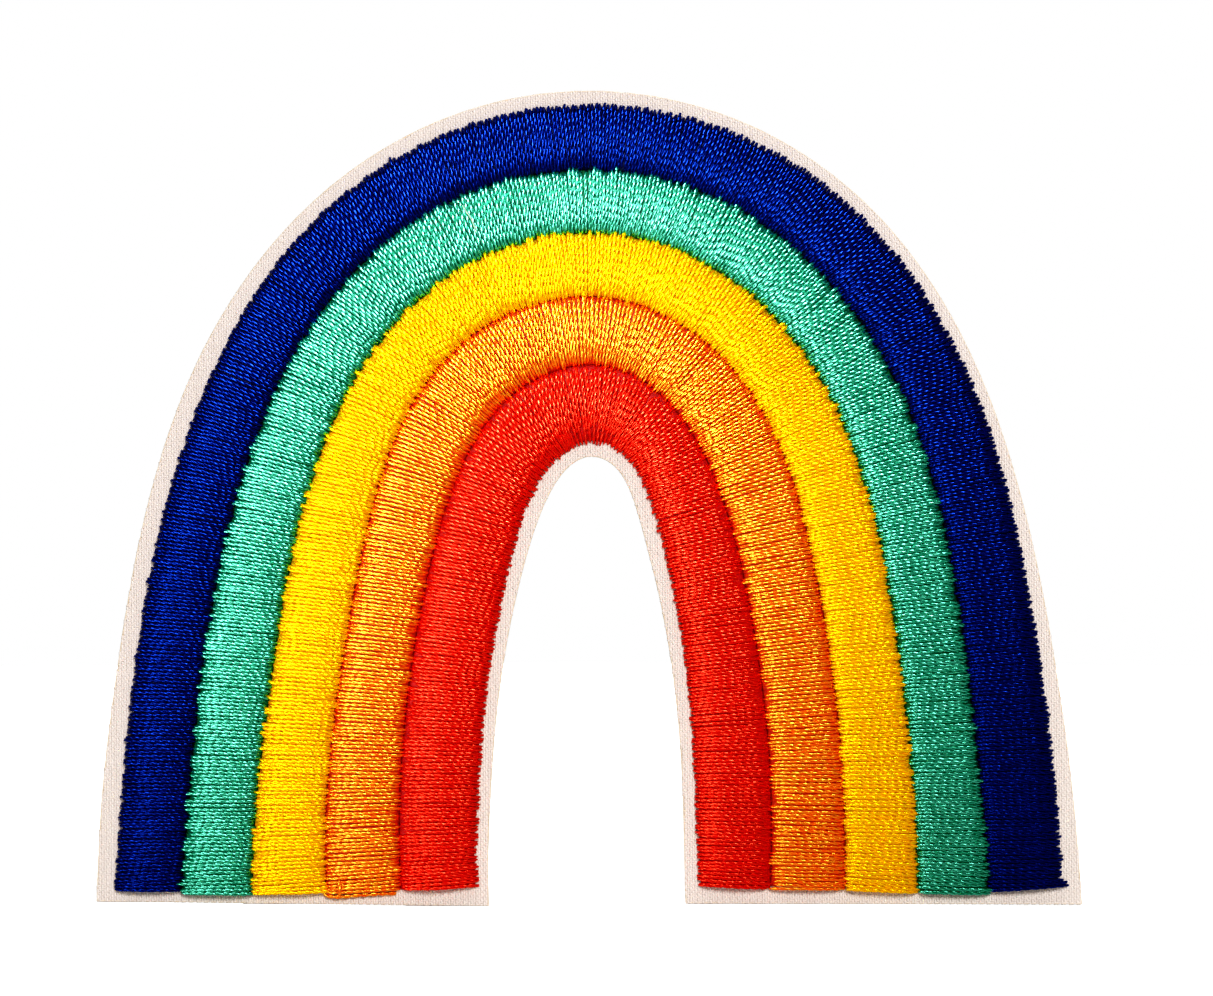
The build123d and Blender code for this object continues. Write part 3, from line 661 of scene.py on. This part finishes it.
def make_rows(name, band):
    s = stations(band)
    R = len(s) - 1
    total = band["len"][-1]
    mid_s = (s[1:] + s[:-1]) / 2
    p_in = at(band["a"], band["len"], mid_s)
    p_out = at(band["o"], band["len"], mid_s)
    across = p_out - p_in
    width = np.linalg.norm(across, axis=1)
    across /= width[:, None]
    along = np.stack([across[:, 1], -across[:, 0]], 1)
    even = np.arange(R) % 2 == 0
    # neighbours share a needle hole, alternately at the inner and the outer edge
    hole_in = np.repeat(rng.normal(0, 1, R // 2 + 2), 2)[1:R + 1]
    hole_out = np.repeat(rng.normal(0, 1, R // 2 + 2), 2)[:R]
    j_in = (0.45 * hole_in + 0.85 * rng.normal(0, 1, R)) * band["stagger"][0]
    j_out = (0.45 * hole_out + 0.85 * rng.normal(0, 1, R)) * band["stagger"][1]
    far = rng.random(R) < 0.10
    j_in = np.where(far, np.abs(j_in) * 1.6, j_in)
    j_out = np.where(far, np.abs(j_out) * 1.6, j_out)
    push_in = band["over"][0] + np.clip(j_in, -0.24, 0.34)
    push_out = band["over"][1] + np.clip(j_out, -0.24, 0.40)
    if name == "blue":      # the last two stitches of the right foot run past the edge
        push_out[-2:] += 0.34
    # every second stitch stops short where the inner edge is crowded
    pitch_in = np.linalg.norm(np.gradient(p_in, axis=0), axis=1)
    short = (pitch_in < 0.150) & even
    push_in = np.where(short, -width * rng.uniform(0.15, 0.26, R), push_in)
    slant = rng.normal(0, 0.016, R)
    a_pt = p_in - across * push_in[:, None] + along * slant[:, None]
    b_pt = p_out + across * push_out[:, None] - along * slant[:, None]
    return dict(a=a_pt, b=b_pt, s=mid_s, short=short, n=R, total=total, width=width, pitch_in=pitch_in,
                pitch_out=np.linalg.norm(np.gradient(p_out, axis=0), axis=1),
                bend_in=np.where(even, -1.0, 1.0) * 0.11 * pitch_in, bend_out=np.where(even, 1.0, -1.0) * 0.11
                * np.linalg.norm(np.gradient(p_out, axis=0), axis=1), along=along)


def row_paths(rows, band, n, rng_h):
    """Centre line of every row: (R, n, 3) points in mm plus normal and side vectors and arc length."""
    R = rows["n"]
    w_mean = rows["width"].mean()
    # sample positions, even along the arc of a typical row
    q = np.linspace(0, 1, 600)
    rn_ = band.get("round", PROFILE_N)
    h = crown(2 * q - 1, rn_) * band["crown"]
    s = np.r_[0, np.cumsum(np.hypot(np.diff(q) * w_mean, np.diff(h)))]
    qs = np.interp(np.linspace(0, s[-1], n), s, q)
    # the steep last bit needs its own point so that the dive stays round
    u = 2 * qs - 1
    base = crown(u, rn_)
    land0, land1 = band["land"]
    top = band["crown"] * end_taper(rows["s"], rows["total"]) + rng_h["lift"]
    land_in = np.where(rows["short"], top * 0.74, land0)[:, None]
    land = np.where(u[None, :] < 0, land_in, land1)
    height = land + (top[:, None] - land) * base[None, :]
    # slow swell across each row so that neighbours don't lie perfectly level
    ph = rng_h["phase"]
    height = height + rng_h["swell"][:, None] * np.sin(np.pi * qs[None, :] * rng_h["freq"][:, None] + ph[:, None]) * base[None, :]
    a3 = np.stack([rows["a"][:, 0], np.zeros(R), rows["a"][:, 1]], 1)
    b3 = np.stack([rows["b"][:, 0], np.zeros(R), rows["b"][:, 1]], 1)
    d = b3 - a3
    side = np.cross(d, np.array([0.0, -1.0, 0.0]))
    side /= np.linalg.norm(side, axis=1)[:, None]
    wob = rng_h["wob"][:, None] * np.sin(np.pi * qs[None, :]) * np.sin(2 * np.pi * qs[None, :] * rng_h["wf"][:, None] + ph[:, None] * 1.7)
    p = a3[:, None, :] + d[:, None, :] * qs[None, :, None] + side[:, None, :] * wob[..., None]
    run = rows["width"][:, None]
    bend = (rows["bend_in"][:, None] * np.exp(-(qs[None, :] * run / 0.26) ** 2)
            + rows["bend_out"][:, None] * np.exp(-((1 - qs)[None, :] * run / 0.26) ** 2))
    p[..., 0] += bend * rows["along"][:, None, 0]
    p[..., 2] += bend * rows["along"][:, None, 1]
    p[..., 1] = Y_TWILL - height
    t = np.gradient(p, axis=1)
    t /= np.linalg.norm(t, axis=2)[..., None]
    b = np.broadcast_to(side[:, None, :], t.shape)
    nrm = np.cross(b, t)
    nrm /= np.linalg.norm(nrm, axis=2)[..., None]
    flip = np.sign((nrm[:, n // 2] * np.array([0, -1.0, 0])).sum(1))[:, None, None]
    nrm = nrm * flip
    b = np.cross(t, nrm)
    arc = np.concatenate([np.zeros((R, 1)), np.cumsum(np.linalg.norm(np.diff(p, axis=1), axis=2), axis=1)], axis=1)
    return p, nrm, b, arc, qs


def satin(name, band):
    rows = make_rows(name, band)
    R = rows["n"]
    n = 40 if name == "red" else 36
    sunk = rng.random(R) < band["gaps"] * 1.2
    rh = dict(lift=rng.normal(0, 0.016, R) + smooth_noise(R, 12, 0.010) - sunk * rng.uniform(0.05, 0.11, R),
              phase=rng.uniform(0, 2 * np.pi, R), swell=rng.normal(0, 0.012, R), freq=rng.uniform(1.0, 3.0, R),
              wob=rng.normal(0, 0.020, R), wf=rng.uniform(0.5, 1.6, R))
    p, nrm, b, arc, qs = row_paths(rows, band, n, rh)
    # the thread is continuous, so its twist carries over from row to row
    turn = LAY * (1 + rng.normal(0, 0.035, R) + smooth_noise(R, 20, 0.012))
    phase = np.zeros(R)
    edge = rng.uniform(0, 6.28)
    for k in range(R):
        full = 2 * np.pi * arc[k, -1] / turn[k]
        if k % 2 == 0:      # shares its inner needle hole with the row before
            phase[k] = edge + 0.7 + rng.normal(0, 0.75)
            edge = phase[k] + full
        else:               # shares its outer hole
            phase[k] = edge + 0.7 + rng.normal(0, 0.75) - full
            edge = phase[k]
    ang = phase[:, None] + 2 * np.pi * arc / turn[:, None]
    # ends are pulled tight into the needle hole
    tight = 0.60 + 0.40 * np.clip(np.minimum(qs, 1 - qs) / 0.065, 0, 1) ** 0.8
    room = smooth(rows["pitch_in"], 6)[:, None] * (1 - qs)[None, :] + smooth(rows["pitch_out"], 6)[:, None] * qs[None, :]
    room = np.clip(room / PITCH, 0.70, 1.22) ** 0.85
    size = (1 + rng.normal(0, 0.03, R))[:, None] * tight[None, :] * room
    plies = []
    fat = band.get("fat", 1.10)
    for ply in (0, 1):
        ph = ang + ply * np.pi
        c = (p + (ORBIT * fat * 0.92 * size * np.cos(ph))[..., None] * nrm + (ORBIT * fat * size * np.sin(ph))[..., None] * b)
        plies.append(c)
    rad_n, rad_b = PLY_IN * fat * size, PLY_R * fat * size
    tint_row = rng.normal(0, 0.8, R) + smooth_noise(R, 15, 0.5)
    made = []
    parts = 2 if name in ("red", "orange") else 3
    cut = np.linspace(0, R, parts + 1).astype(int)
    labels = ["left", "right"] if parts == 2 else ["left", "crown", "right"]
    for k in range(parts):
        sl = slice(cut[k], cut[k + 1])
        c = np.concatenate([plies[0][sl], plies[1][sl]])
        nn, bb = np.concatenate([nrm[sl]] * 2), np.concatenate([b[sl]] * 2)
        rn, rb = np.concatenate([rad_n[sl]] * 2), np.concatenate([rad_b[sl]] * 2)
        sm = np.concatenate([arc[sl]] * 2)
        # keep the two plies of a row next to each other in the uv strips
        order = np.argsort(np.concatenate([np.arange(sl.stop - sl.start)] * 2), kind="stable")
        tint = np.concatenate([tint_row[sl], tint_row[sl] + rng.normal(0, 0.35, sl.stop - sl.start)])
        pp = np.concatenate([ang[sl], ang[sl] + np.pi])
        v, f, u, at_ = sweep_rows(c[order], nn[order], bb[order], rn[order], rb[order], 6, sm[order], tint[order], pp[order])
        ob = add_object(f"satin_{name}_{labels[k]}", v, f, u, at_, THREAD[name])
        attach(ob, "root")
        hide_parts(f"satin_{name}")
        made.append(ob)
    return rows


def pad(name, band):
    """Crowned padding under the rows: one closed ridge with shallow cross stitches."""
    total = band["len"][-1]
    s = np.arange(0.22, total - 0.22, 0.142)
    a, o = at(band["a"], band["len"], s), at(band["o"], band["len"], s)
    d = o - a
    w = np.linalg.norm(d, axis=1)
    m = 15
    q = 0.5 - 0.5 * np.cos(np.linspace(0, np.pi, m))
    in_a, in_o = (0.18 if name == "red" else 0.0), (0.28 if name == "blue" else 0.0)
    qq = in_a / w[:, None] + (1 - (in_a + in_o) / w[:, None]) * q[None, :]
    xz = a[:, None, :] + d[:, None, :] * qq[..., None]
    rn_ = band.get("round", PROFILE_N)
    h = crown(2 * q - 1, rn_)[None, :] * ((band["crown"] - 0.115) * end_taper(s, total, 1.7, 0.55))[:, None]
    h = h + (0.020 * ((np.arange(len(s)) % 4) < 2))[:, None] * crown(2 * q - 1)[None, :] + 0.01
    top = np.stack([xz[..., 0], Y_TWILL - h, xz[..., 1]], -1)
    under = top[:, ::-1][:, [1, 4, 7, 10, 13]].copy()
    under[..., 1] = Y_TWILL + 0.16
    rings = np.concatenate([top, under], axis=1)[:, ::-1]
    v, f, u = loft_rings(rings)
    ob = add_object(f"underlay_{name}_ridge", v, f, u, {}, PAD_PAINTED_SHADE_GLOW[name])
    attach(ob, "root")
    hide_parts(f"underlay_{name}")


def back_rows(name, band, rows):
    """Back of a column: white bobbin thread down the middle, ends of the top thread at both sides."""
    R = rows["n"]
    a, b = rows["a"].copy(), rows["b"].copy()
    d = b - a
    lock_a = np.clip(0.21 + rng.normal(0, 0.035, R), 0.10, 0.32)
    lock_b = np.clip(0.21 + rng.normal(0, 0.035, R), 0.10, 0.32)
    y0 = Y_STAB_BACK - 0.2 * 0 + 0.0
    y_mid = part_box("bobbin_" + name)[0].y / MM + 0.062
    n = 9
    q = np.linspace(0, 1, n)

    def run(p0, p1, y_of_q, r_n, r_b, obj, mat, slot_, repl):
        RR = len(p0)
        xz = p0[:, None, :] + (p1 - p0)[:, None, :] * q[None, :, None]
        p = np.stack([xz[..., 0], np.broadcast_to(y_of_q[None, :], xz.shape[:2]) + rng.normal(0, 0.004, RR)[:, None], xz[..., 1]], -1)
        t = np.gradient(p, axis=1)
        t /= np.linalg.norm(t, axis=2)[..., None]
        out = np.array([0.0, 1.0, 0.0])
        bb = np.cross(t, out)
        bb /= np.linalg.norm(bb, axis=2)[..., None]
        nn = np.cross(bb, t)
        arc = np.concatenate([np.zeros((RR, 1)), np.cumsum(np.linalg.norm(np.diff(p, axis=1), axis=2), axis=1)], axis=1)
        v, f, u, at_ = sweep_rows(p, nn, bb, r_n, r_b, 5, arc, rng.normal(0, 1, RR))
        ob = add_object(obj, v, f, u, at_, mat)
        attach(ob, "root")
        if repl:
            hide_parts(repl)

    arch = 4 * q * (1 - q)
    flat = np.clip(arch * 3, 0, 1)
    run(a + d * (lock_a - 0.035)[:, None], b - d * (lock_b - 0.035)[:, None], y_mid - 0.02 + 0.018 * flat,
        0.050, 0.118, f"bobbin_{name}_thread", BOBBIN, "bobbin_white", f"bobbin_{name}")
    # the top thread comes through its needle hole and turns round the bobbin thread
    aa = np.concatenate([a + d * 0.01, b - d * 0.01])
    ll = np.concatenate([a + d * lock_a[:, None], b - d * lock_b[:, None]])
    dive = np.clip(q * 5, 0, 1)
    run(aa, ll, y_mid - 0.12 + 0.12 * dive + 0.006, 0.056, 0.125, f"satin_{name}_back_turns", THREAD[name], f"thread_{name}", None)


ROWS = {}
for name in ORDER:
    ROWS[name] = satin(name, BANDS[name])
    pad(name, BANDS[name])
    back_rows(name, BANDS[name], ROWS[name])


# ----------------------------------------------------------------------------
# twill ground: woven yarns in the border, a thin core sheet below them
# ----------------------------------------------------------------------------
WARP, WEFT_P = 0.1925, 0.145


def offset(c, d):
    return c + normals(c) * d


def ring_polygon(c_out, c_in, foot_drop=0.0):
    return np.vstack([c_out, c_in[::-1]])


out_cut, in_cut = offset(C_TOUT, -0.05), offset(C_TIN, 0.05)
poly_sheet = ring_polygon(out_cut, in_cut)
hid_out = trim(offset(BANDS["blue"]["c_out"], -0.75), 2.0, 2.1)
hid_in = trim(offset(BANDS["red"]["c_in"], 0.75), 2.1, 2.2)
poly_hidden = ring_polygon(hid_out, hid_in)


def cuts(poly, axis, c):
    """Sorted crossings of the closed polygon with the line axis = c."""
    a, b = poly, np.roll(poly, -1, axis=0)
    ua, ub = a[:, axis] - c, b[:, axis] - c
    k = (ua > 0) != (ub > 0)
    t = ua[k] / (ua[k] - ub[k])
    other = 1 - axis
    return np.sort(a[k, other] + t * (b[k, other] - a[k, other]))


def spans(axis, c):
    """Stretches of one yarn that lie in the sheet but not under the stitches."""
    sheet, hid = cuts(poly_sheet, axis, c), cuts(poly_hidden, axis, c)
    keep = []
    for lo, hi in zip(sheet[0::2], sheet[1::2]):
        pieces = [(lo, hi)]
        for h0, h1 in zip(hid[0::2], hid[1::2]):
            nxt = []
            for x0, x1 in pieces:
                if h1 <= x0 or h0 >= x1:
                    nxt.append((x0, x1))
                else:
                    if h0 > x0:
                        nxt.append((x0, h0))
                    if h1 < x1:
                        nxt.append((h1, x1))
            pieces = nxt
        keep += [x for x in pieces if x[1] - x[0] > 0.16]
    return keep


x_min, x_max = C_TOUT[:, 0].min(), C_TOUT[:, 0].max()
z_max = C_TOUT[:, 1].max()
AMP = 0.042


def weave_height(i, j):
    """+1 where warp i lies over weft j."""
    return np.where((i - j) % 3 != 0, 1.0, -1.0)


def smooth_between(f):
    k = np.floor(f)
    t = f - k
    w = t * t * (3 - 2 * t)
    return k, w


warps, wefts = [], []
n_warp = int((x_max - x_min) / WARP)
for i in range(n_warp + 1):
    x = x_min + (i + 0.5) * WARP
    for lo, hi in spans(0, x):
        zz = np.arange(lo, hi + 0.075, 0.075 * 1.0)
        zz[-1] = hi
        if len(zz) > 2 and zz[-1] - zz[-2] < 0.02:
            zz = np.delete(zz, -2)
        f = zz / WEFT_P - 0.5
        k, w = smooth_between(f)
        hgt = weave_height(i, k) * (1 - w) + weave_height(i, k + 1) * w
        wander = 0.012 * np.sin(zz * 1.9 + i * 2.4)
        warps.append(np.stack([x + wander, Y_TWILL + 0.098 - AMP * hgt, zz], 1))
n_weft = int(z_max / WEFT_P)
for j in range(n_weft + 1):
    z = (j + 0.5) * WEFT_P
    for lo, hi in spans(1, z):
        xx = np.arange(lo, hi + 0.096, 0.096)
        xx[-1] = hi
        if len(xx) > 2 and xx[-1] - xx[-2] < 0.02:
            xx = np.delete(xx, -2)
        f = (xx - x_min) / WARP - 0.5
        k, w = smooth_between(f)
        hgt = weave_height(k, j) * (1 - w) + weave_height(k + 1, j) * w
        wander = 0.010 * np.sin(xx * 1.7 + j * 1.9)
        wefts.append(np.stack([xx, Y_TWILL + 0.098 + AMP * hgt, z + wander], 1))


def split_yarns(paths, label, r, mat, squash):
    crown_ = [p for p in paths if p[:, 2].mean() > 44.0]
    left = [p for p in paths if p[:, 2].mean() <= 44.0 and p[:, 0].mean() < 0.3]
    right = [p for p in paths if p[:, 2].mean() <= 44.0 and p[:, 0].mean() >= 0.3]
    for part, which in ((left, "left"), (crown_, "crown"), (right, "right")):
        v, f, u, at_ = polytube(part, r, 5, squash)
        ob = add_object(f"twill_{label}_{which}", v, f, u, at_, mat)
        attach(ob, "root")
        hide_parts("twill_base")


split_yarns(warps, "warp", 0.110, YARN, 0.58)
split_yarns(wefts, "weft", 0.088, WEFT, 0.66)


def slab(name, y_front, y_back, inset, along, across, mat, repl, front_fn=None, back_fn=None):
    """Closed sheet over the whole arch between two depths."""
    co, ci = resample(offset(C_TOUT, -inset), along), resample(offset(C_TIN, inset), along)
    for c in (co, ci):
        c[0, 1] += inset
        c[-1, 1] += inset
    q = np.linspace(0, 1, across)
    xz = ci[:, None, :] + (co - ci)[:, None, :] * q[None, :, None]
    yf = np.full(xz.shape[:2], y_front) if front_fn is None else front_fn(xz)
    yb = np.full(xz.shape[:2], y_back) if back_fn is None else back_fn(xz)
    f = np.stack([xz[..., 0], yf, xz[..., 1]], -1)
    b = np.stack([xz[..., 0], yb, xz[..., 1]], -1)[:, ::-1]
    rings = np.concatenate([f, b], axis=1)[:, ::-1]
    v, faces, u = loft_rings(rings)
    # flat uv: the sheet as seen from the front, the back beside it
    ob = add_object(name, v, faces, u, {}, mat)
    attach(ob, "root")
    if repl:
        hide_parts(repl)
    return ob


slab("twill_core", Y_TWILL + 0.145, Y_TWILL_BACK - 0.002, 0.03, 500, 10, CORE_MAT, "twill_base")

# non-woven stabiliser: the CAD sheet keeps its shape
stab = frame["nodes"]["stabiliser"]
stab.data.materials.clear()
stab.data.materials.append(STAB_MAT)

# heat-cut edge: an uneven sealed bead round the whole outline
foot_l = np.linspace(C_TIN[0], C_TOUT[0], 240)[1:-1]
foot_r = np.linspace(C_TOUT[-1], C_TIN[-1], 240)[1:-1]
loop = np.vstack([resample(C_TOUT, 1500), foot_r, resample(C_TIN, 700)[::-1], foot_l])
tan = np.roll(loop, -1, axis=0) - np.roll(loop, 1, axis=0)
tan /= np.linalg.norm(tan, axis=1)[:, None]
nrm2 = np.stack([-tan[:, 1], tan[:, 0]], 1)
L = len(loop)
k7 = np.hanning(9) / np.hanning(9).sum()
bead_r = 0.058 + 0.016 * np.convolve(rng.normal(0, 1, L + 8), k7, mode="valid")
bead_r = np.clip(bead_r, 0.035, 0.095)
a = (np.arange(8) + 0.5) / 8 * 2 * np.pi
centre = loop - nrm2 * 0.052
y_c = (Y_TWILL + Y_TWILL_BACK) / 2 + 0.0
half_h = (Y_TWILL_BACK - Y_TWILL) / 2 - 0.004
sup = lambda t: np.sign(t) * np.abs(t) ** 0.7
rings = np.empty((L, 8, 3))
rings[..., 0] = centre[:, None, 0] + nrm2[:, None, 0] * bead_r[:, None] * sup(np.cos(a))[None, :]
rings[..., 2] = centre[:, None, 1] + nrm2[:, None, 1] * bead_r[:, None] * sup(np.cos(a))[None, :]
rings[..., 1] = y_c + half_h * sup(np.sin(a))[None, :] * (0.96 + 0.5 * (bead_r[:, None] - 0.058))
v, f, u = loft_rings(rings, wrap=True)
edge_ob = add_object("twill_cut_edge", v, f, u, {}, EDGE_MAT)
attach(edge_ob, "root")
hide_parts("twill_base")

# heat-seal film: rises softly over the stitching behind each column
mids = []
for name in ORDER:
    b_ = BANDS[name]
    mids.append((b_["a"], b_["o"]))


def film_back(xz):
    """Outer face of the film: nearly flat, pressed in a little between the columns."""
    y = np.full(xz.shape[:2], Y_BACK)
    n_al, n_ac = xz.shape[:2]
    dist = np.full((n_al, n_ac), 9.0)
    for key in ("red", "orange", "yellow", "green", "blue"):
        for c in (BANDS[key]["c_in"], BANDS[key]["c_out"]):
            cc = c[::8]
            for i in range(0, n_al, 40):
                blk = xz[i:i + 40].reshape(-1, 1, 2)
                d2 = ((blk - cc[None]) ** 2).sum(2).min(1)
                dist[i:i + 40] = np.minimum(dist[i:i + 40], np.sqrt(d2).reshape(-1, n_ac))
    dip = 0.055 * np.exp(-(dist / 0.42) ** 2)
    ripple = 0.010 * np.sin(xz[..., 0] * 2.1 + 0.6 * np.sin(xz[..., 1] * 0.9)) * np.sin(xz[..., 1] * 1.7)
    fine = rng.normal(0, 0.0035, (n_al, n_ac))
    return y - 0.012 - dip + ripple * 0.8 + fine


slab("heat_seal_film_sheet", Y_STAB_BACK + 0.128, Y_BACK, 0.02, 500, 90, FILM_MAT, "heat_seal_film", back_fn=film_back)


# ----------------------------------------------------------------------------
# small things: tie-off at the orange column's left foot, a stray fibre on green
# ----------------------------------------------------------------------------
def ply_pair(path, r=PLY_R, orbit=ORBIT, lay=LAY, step=0.06):
    p = np.asarray(path, float)
    s = np.r_[0, np.cumsum(np.linalg.norm(np.diff(p, axis=0), axis=1))]
    t = np.arange(0, s[-1], step)
    c = np.stack([np.interp(t, s, p[:, k]) for k in range(3)], 1)
    tg = np.gradient(c, axis=0)
    tg /= np.linalg.norm(tg, axis=1)[:, None]
    ref = np.array([0.3, -1.0, 0.2])
    b = np.cross(tg, ref)
    b /= np.linalg.norm(b, axis=1)[:, None]
    n = np.cross(b, tg)
    outp = []
    for k in (0, 1):
        ph = 2 * np.pi * t / lay + k * np.pi
        outp.append(c + orbit * np.cos(ph)[:, None] * n + orbit * np.sin(ph)[:, None] * b)
    return outp


def bezier(pts, n=60):
    """Catmull-Rom through the points."""
    p = np.array(pts, float)
    p = np.vstack([2 * p[0] - p[1], p, 2 * p[-1] - p[-2]])
    res = []
    for i in range(1, len(p) - 2):
        t = np.linspace(0, 1, n, endpoint=False)[:, None]
        res.append(0.5 * (2 * p[i] + (p[i + 1] - p[i - 1]) * t + (2 * p[i - 1] - 5 * p[i] + 4 * p[i + 1] - p[i + 2]) * t ** 2
                          + (3 * p[i] - 3 * p[i + 1] + p[i + 2] - p[i - 1]) * t ** 3))
    res.append(p[-2][None])
    return np.vstack(res)


Yt = Y_TWILL
tie = bezier([(-19.20, Yt - 0.70, 2.0), (-19.22, Yt - 0.80, 1.55), (-19.24, Yt - 0.62, 1.05), (-19.30, Yt - 0.20, 0.74), (-19.45, Yt - 0.02, 0.66)])
tail = bezier([(-14.9, Yt - 0.10, 0.98), (-16.2, Yt - 0.20, 0.94), (-17.8, Yt - 0.22, 0.84), (-19.2, Yt - 0.26, 0.72), (-20.0, Yt - 0.20, 0.76), (-20.5, Yt - 0.06, 0.92)])
v, f, u, at_ = polytube(ply_pair(tie) + ply_pair(tail), 0.088, 7)
ob = add_object("satin_orange_tie_off", v, f, u, at_, THREAD["orange"])
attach(ob, "root")

Yc = Yt - BANDS["green"]["crown"] - 0.16
stray = bezier([(-9.75, Yc + 0.05, 54.0), (-9.45, Yc, 53.5), (-9.10, Yc, 53.0), (-8.85, Yc, 52.4), (-8.70, Yc + 0.03, 51.9)])
v, f, u, at_ = polytube(ply_pair(stray, 0.032, 0.026, 0.8), 0.032, 6)
ob = add_object("stray_light_thread", v, f, u, at_, STRAY)
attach(ob, "root")


# ----------------------------------------------------------------------------
# stage, light, camera
# ----------------------------------------------------------------------------
lo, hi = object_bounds()
mid = (cad_lo + cad_hi) / 2

floor_me = bpy.data.meshes.new("floor")
n_ring, rad = 64, 0.42
fl = [(0, 0, cad_lo.z - 0.00002)] + [(rad * math.cos(2 * math.pi * k / n_ring), rad * math.sin(2 * math.pi * k / n_ring), cad_lo.z - 0.00002) for k in range(n_ring)]
floor_me.from_pydata(fl, [], [(0, k + 1, (k + 1) % n_ring + 1) for k in range(n_ring)])
floor = bpy.data.objects.new("floor", floor_me)
bpy.context.scene.collection.objects.link(floor)
fm = Nodes("pale_floor")
fm.p.inputs["Base Color"].default_value = (0.92, 0.92, 0.92, 1)
fm.p.inputs["Roughness"].default_value = 0.9
fm.p.inputs["Specular IOR Level"].default_value = 0.1
f_lp = fm.new("ShaderNodeLightPath")
fm.p.inputs["Emission Color"].default_value = (1, 1, 1, 1)
fm.link(fm.math("MULTIPLY", f_lp.outputs["Is Camera Ray"], 0.62), fm.p.inputs["Emission Strength"])
floor_me.materials.append(fm.mat)

world = bpy.data.worlds.new("studio")
bpy.context.scene.world = world
world.use_nodes = True
wn = world.node_tree
bg = wn.nodes["Background"]
lp = wn.nodes.new("ShaderNodeLightPath")
mixv = wn.nodes.new("ShaderNodeMapRange")
wn.links.new(lp.outputs["Is Camera Ray"], mixv.inputs["Value"])
mixv.inputs["To Min"].default_value = 0.09
mixv.inputs["To Max"].default_value = 1.0
bg.inputs["Color"].default_value = (1, 1, 1, 1)
wn.links.new(mixv.outputs["Result"], bg.inputs["Strength"])


def area(name, loc, target, size, power, size_y=None, color=(1, 1, 1)):
    d = bpy.data.lights.new(name, "AREA")
    d.energy = power
    d.color = color
    d.shape = "RECTANGLE" if size_y else "SQUARE"
    d.size = size
    if size_y:
        d.size_y = size_y
    o = bpy.data.objects.new(name, d)
    o.location = loc
    o.rotation_mode = "QUATERNION"
    o.rotation_quaternion = (Vector(target) - Vector(loc)).to_track_quat("-Z", "Y")
    bpy.context.scene.collection.objects.link(o)
    o.visible_camera = False
    return o


c = mid
thread_lit = bpy.data.collections.new("lit_by_thread_key")
cloth_lit = bpy.data.collections.new("lit_by_cloth_key")
for ob in bpy.context.scene.objects:
    if ob.type == "MESH":
        (cloth_lit if ob.name.startswith("twill") else thread_lit).objects.link(ob)

key = area("key", (c.x - 0.080, c.y - 0.066, c.z - 0.008), (c.x - 0.024, c.y, c.z - 0.010), 0.050, 0.027, size_y=0.100)
key.data.spread = math.radians(62)
key.light_linking.receiver_collection = thread_lit
top = area("key_top", (c.x - 0.004, c.y - 0.082, c.z + 0.062), (c.x + 0.000, c.y, c.z + 0.030), 0.056, 0.047)
top.data.spread = math.radians(54)
top.light_linking.receiver_collection = thread_lit
fill = area("key_left", (c.x - 0.027, c.y - 0.100, c.z - 0.012), (c.x - 0.027, c.y, c.z - 0.012), 0.036, 0.0066, size_y=0.075)
fill.data.spread = math.radians(38)
fill.light_linking.receiver_collection = thread_lit
for o in (key, top, fill):      # these three only draw the threads' gleam
    o.visible_diffuse = False
soft = area("soft_front", (c.x - 0.06, c.y - 0.45, c.z + 0.10), (c.x, c.y, c.z), 0.34, 1.85)
soft.light_linking.receiver_collection = thread_lit
soft.visible_glossy = False
cloth = area("cloth_key", (c.x + 0.20, c.y - 0.56, c.z + 0.30), (c.x, c.y, c.z), 0.22, 3.95)
cloth.light_linking.receiver_collection = cloth_lit
area("back_soft", (c.x - 0.06, c.y + 0.5, c.z + 0.25), (c.x, c.y, c.z), 0.35, 1.8)
area("overhead", (c.x, c.y, c.z + 0.75), (c.x, c.y, 0), 1.0, 4.0)

cam_d = bpy.data.cameras.new("camera")
cam_d.sensor_width = 36
cam_d.lens = 110
cam = bpy.data.objects.new("camera", cam_d)
frame_w = (1213 / 13.0) * MM * (cad_hi.x - cad_lo.x) / (76.12 * MM)
dist = frame_w * cam_d.lens / cam_d.sensor_width
cam.location = (mid.x + 17.3 / 13.0 * MM, cad_lo.y - dist, mid.z + 0.3 / 13.0 * MM)
cam.rotation_euler = (math.pi / 2, 0, 0)
cam_d.clip_start, cam_d.clip_end = 0.01, 10
bpy.context.scene.collection.objects.link(cam)
bpy.context.scene.camera = cam
vs = bpy.context.scene.view_settings
vs.view_transform = "Standard"
# a studio print's deeper shadows: a short toe, straight above it
vs.use_curve_mapping = True
tone = vs.curve_mapping.curves[3]
for px, py in ((0.02, 0.004), (0.05, 0.018), (0.10, 0.055), (0.20, 0.145), (0.35, 0.31), (0.50, 0.485), (0.70, 0.70)):
    tone.points.new(px, py)
vs.curve_mapping.update()
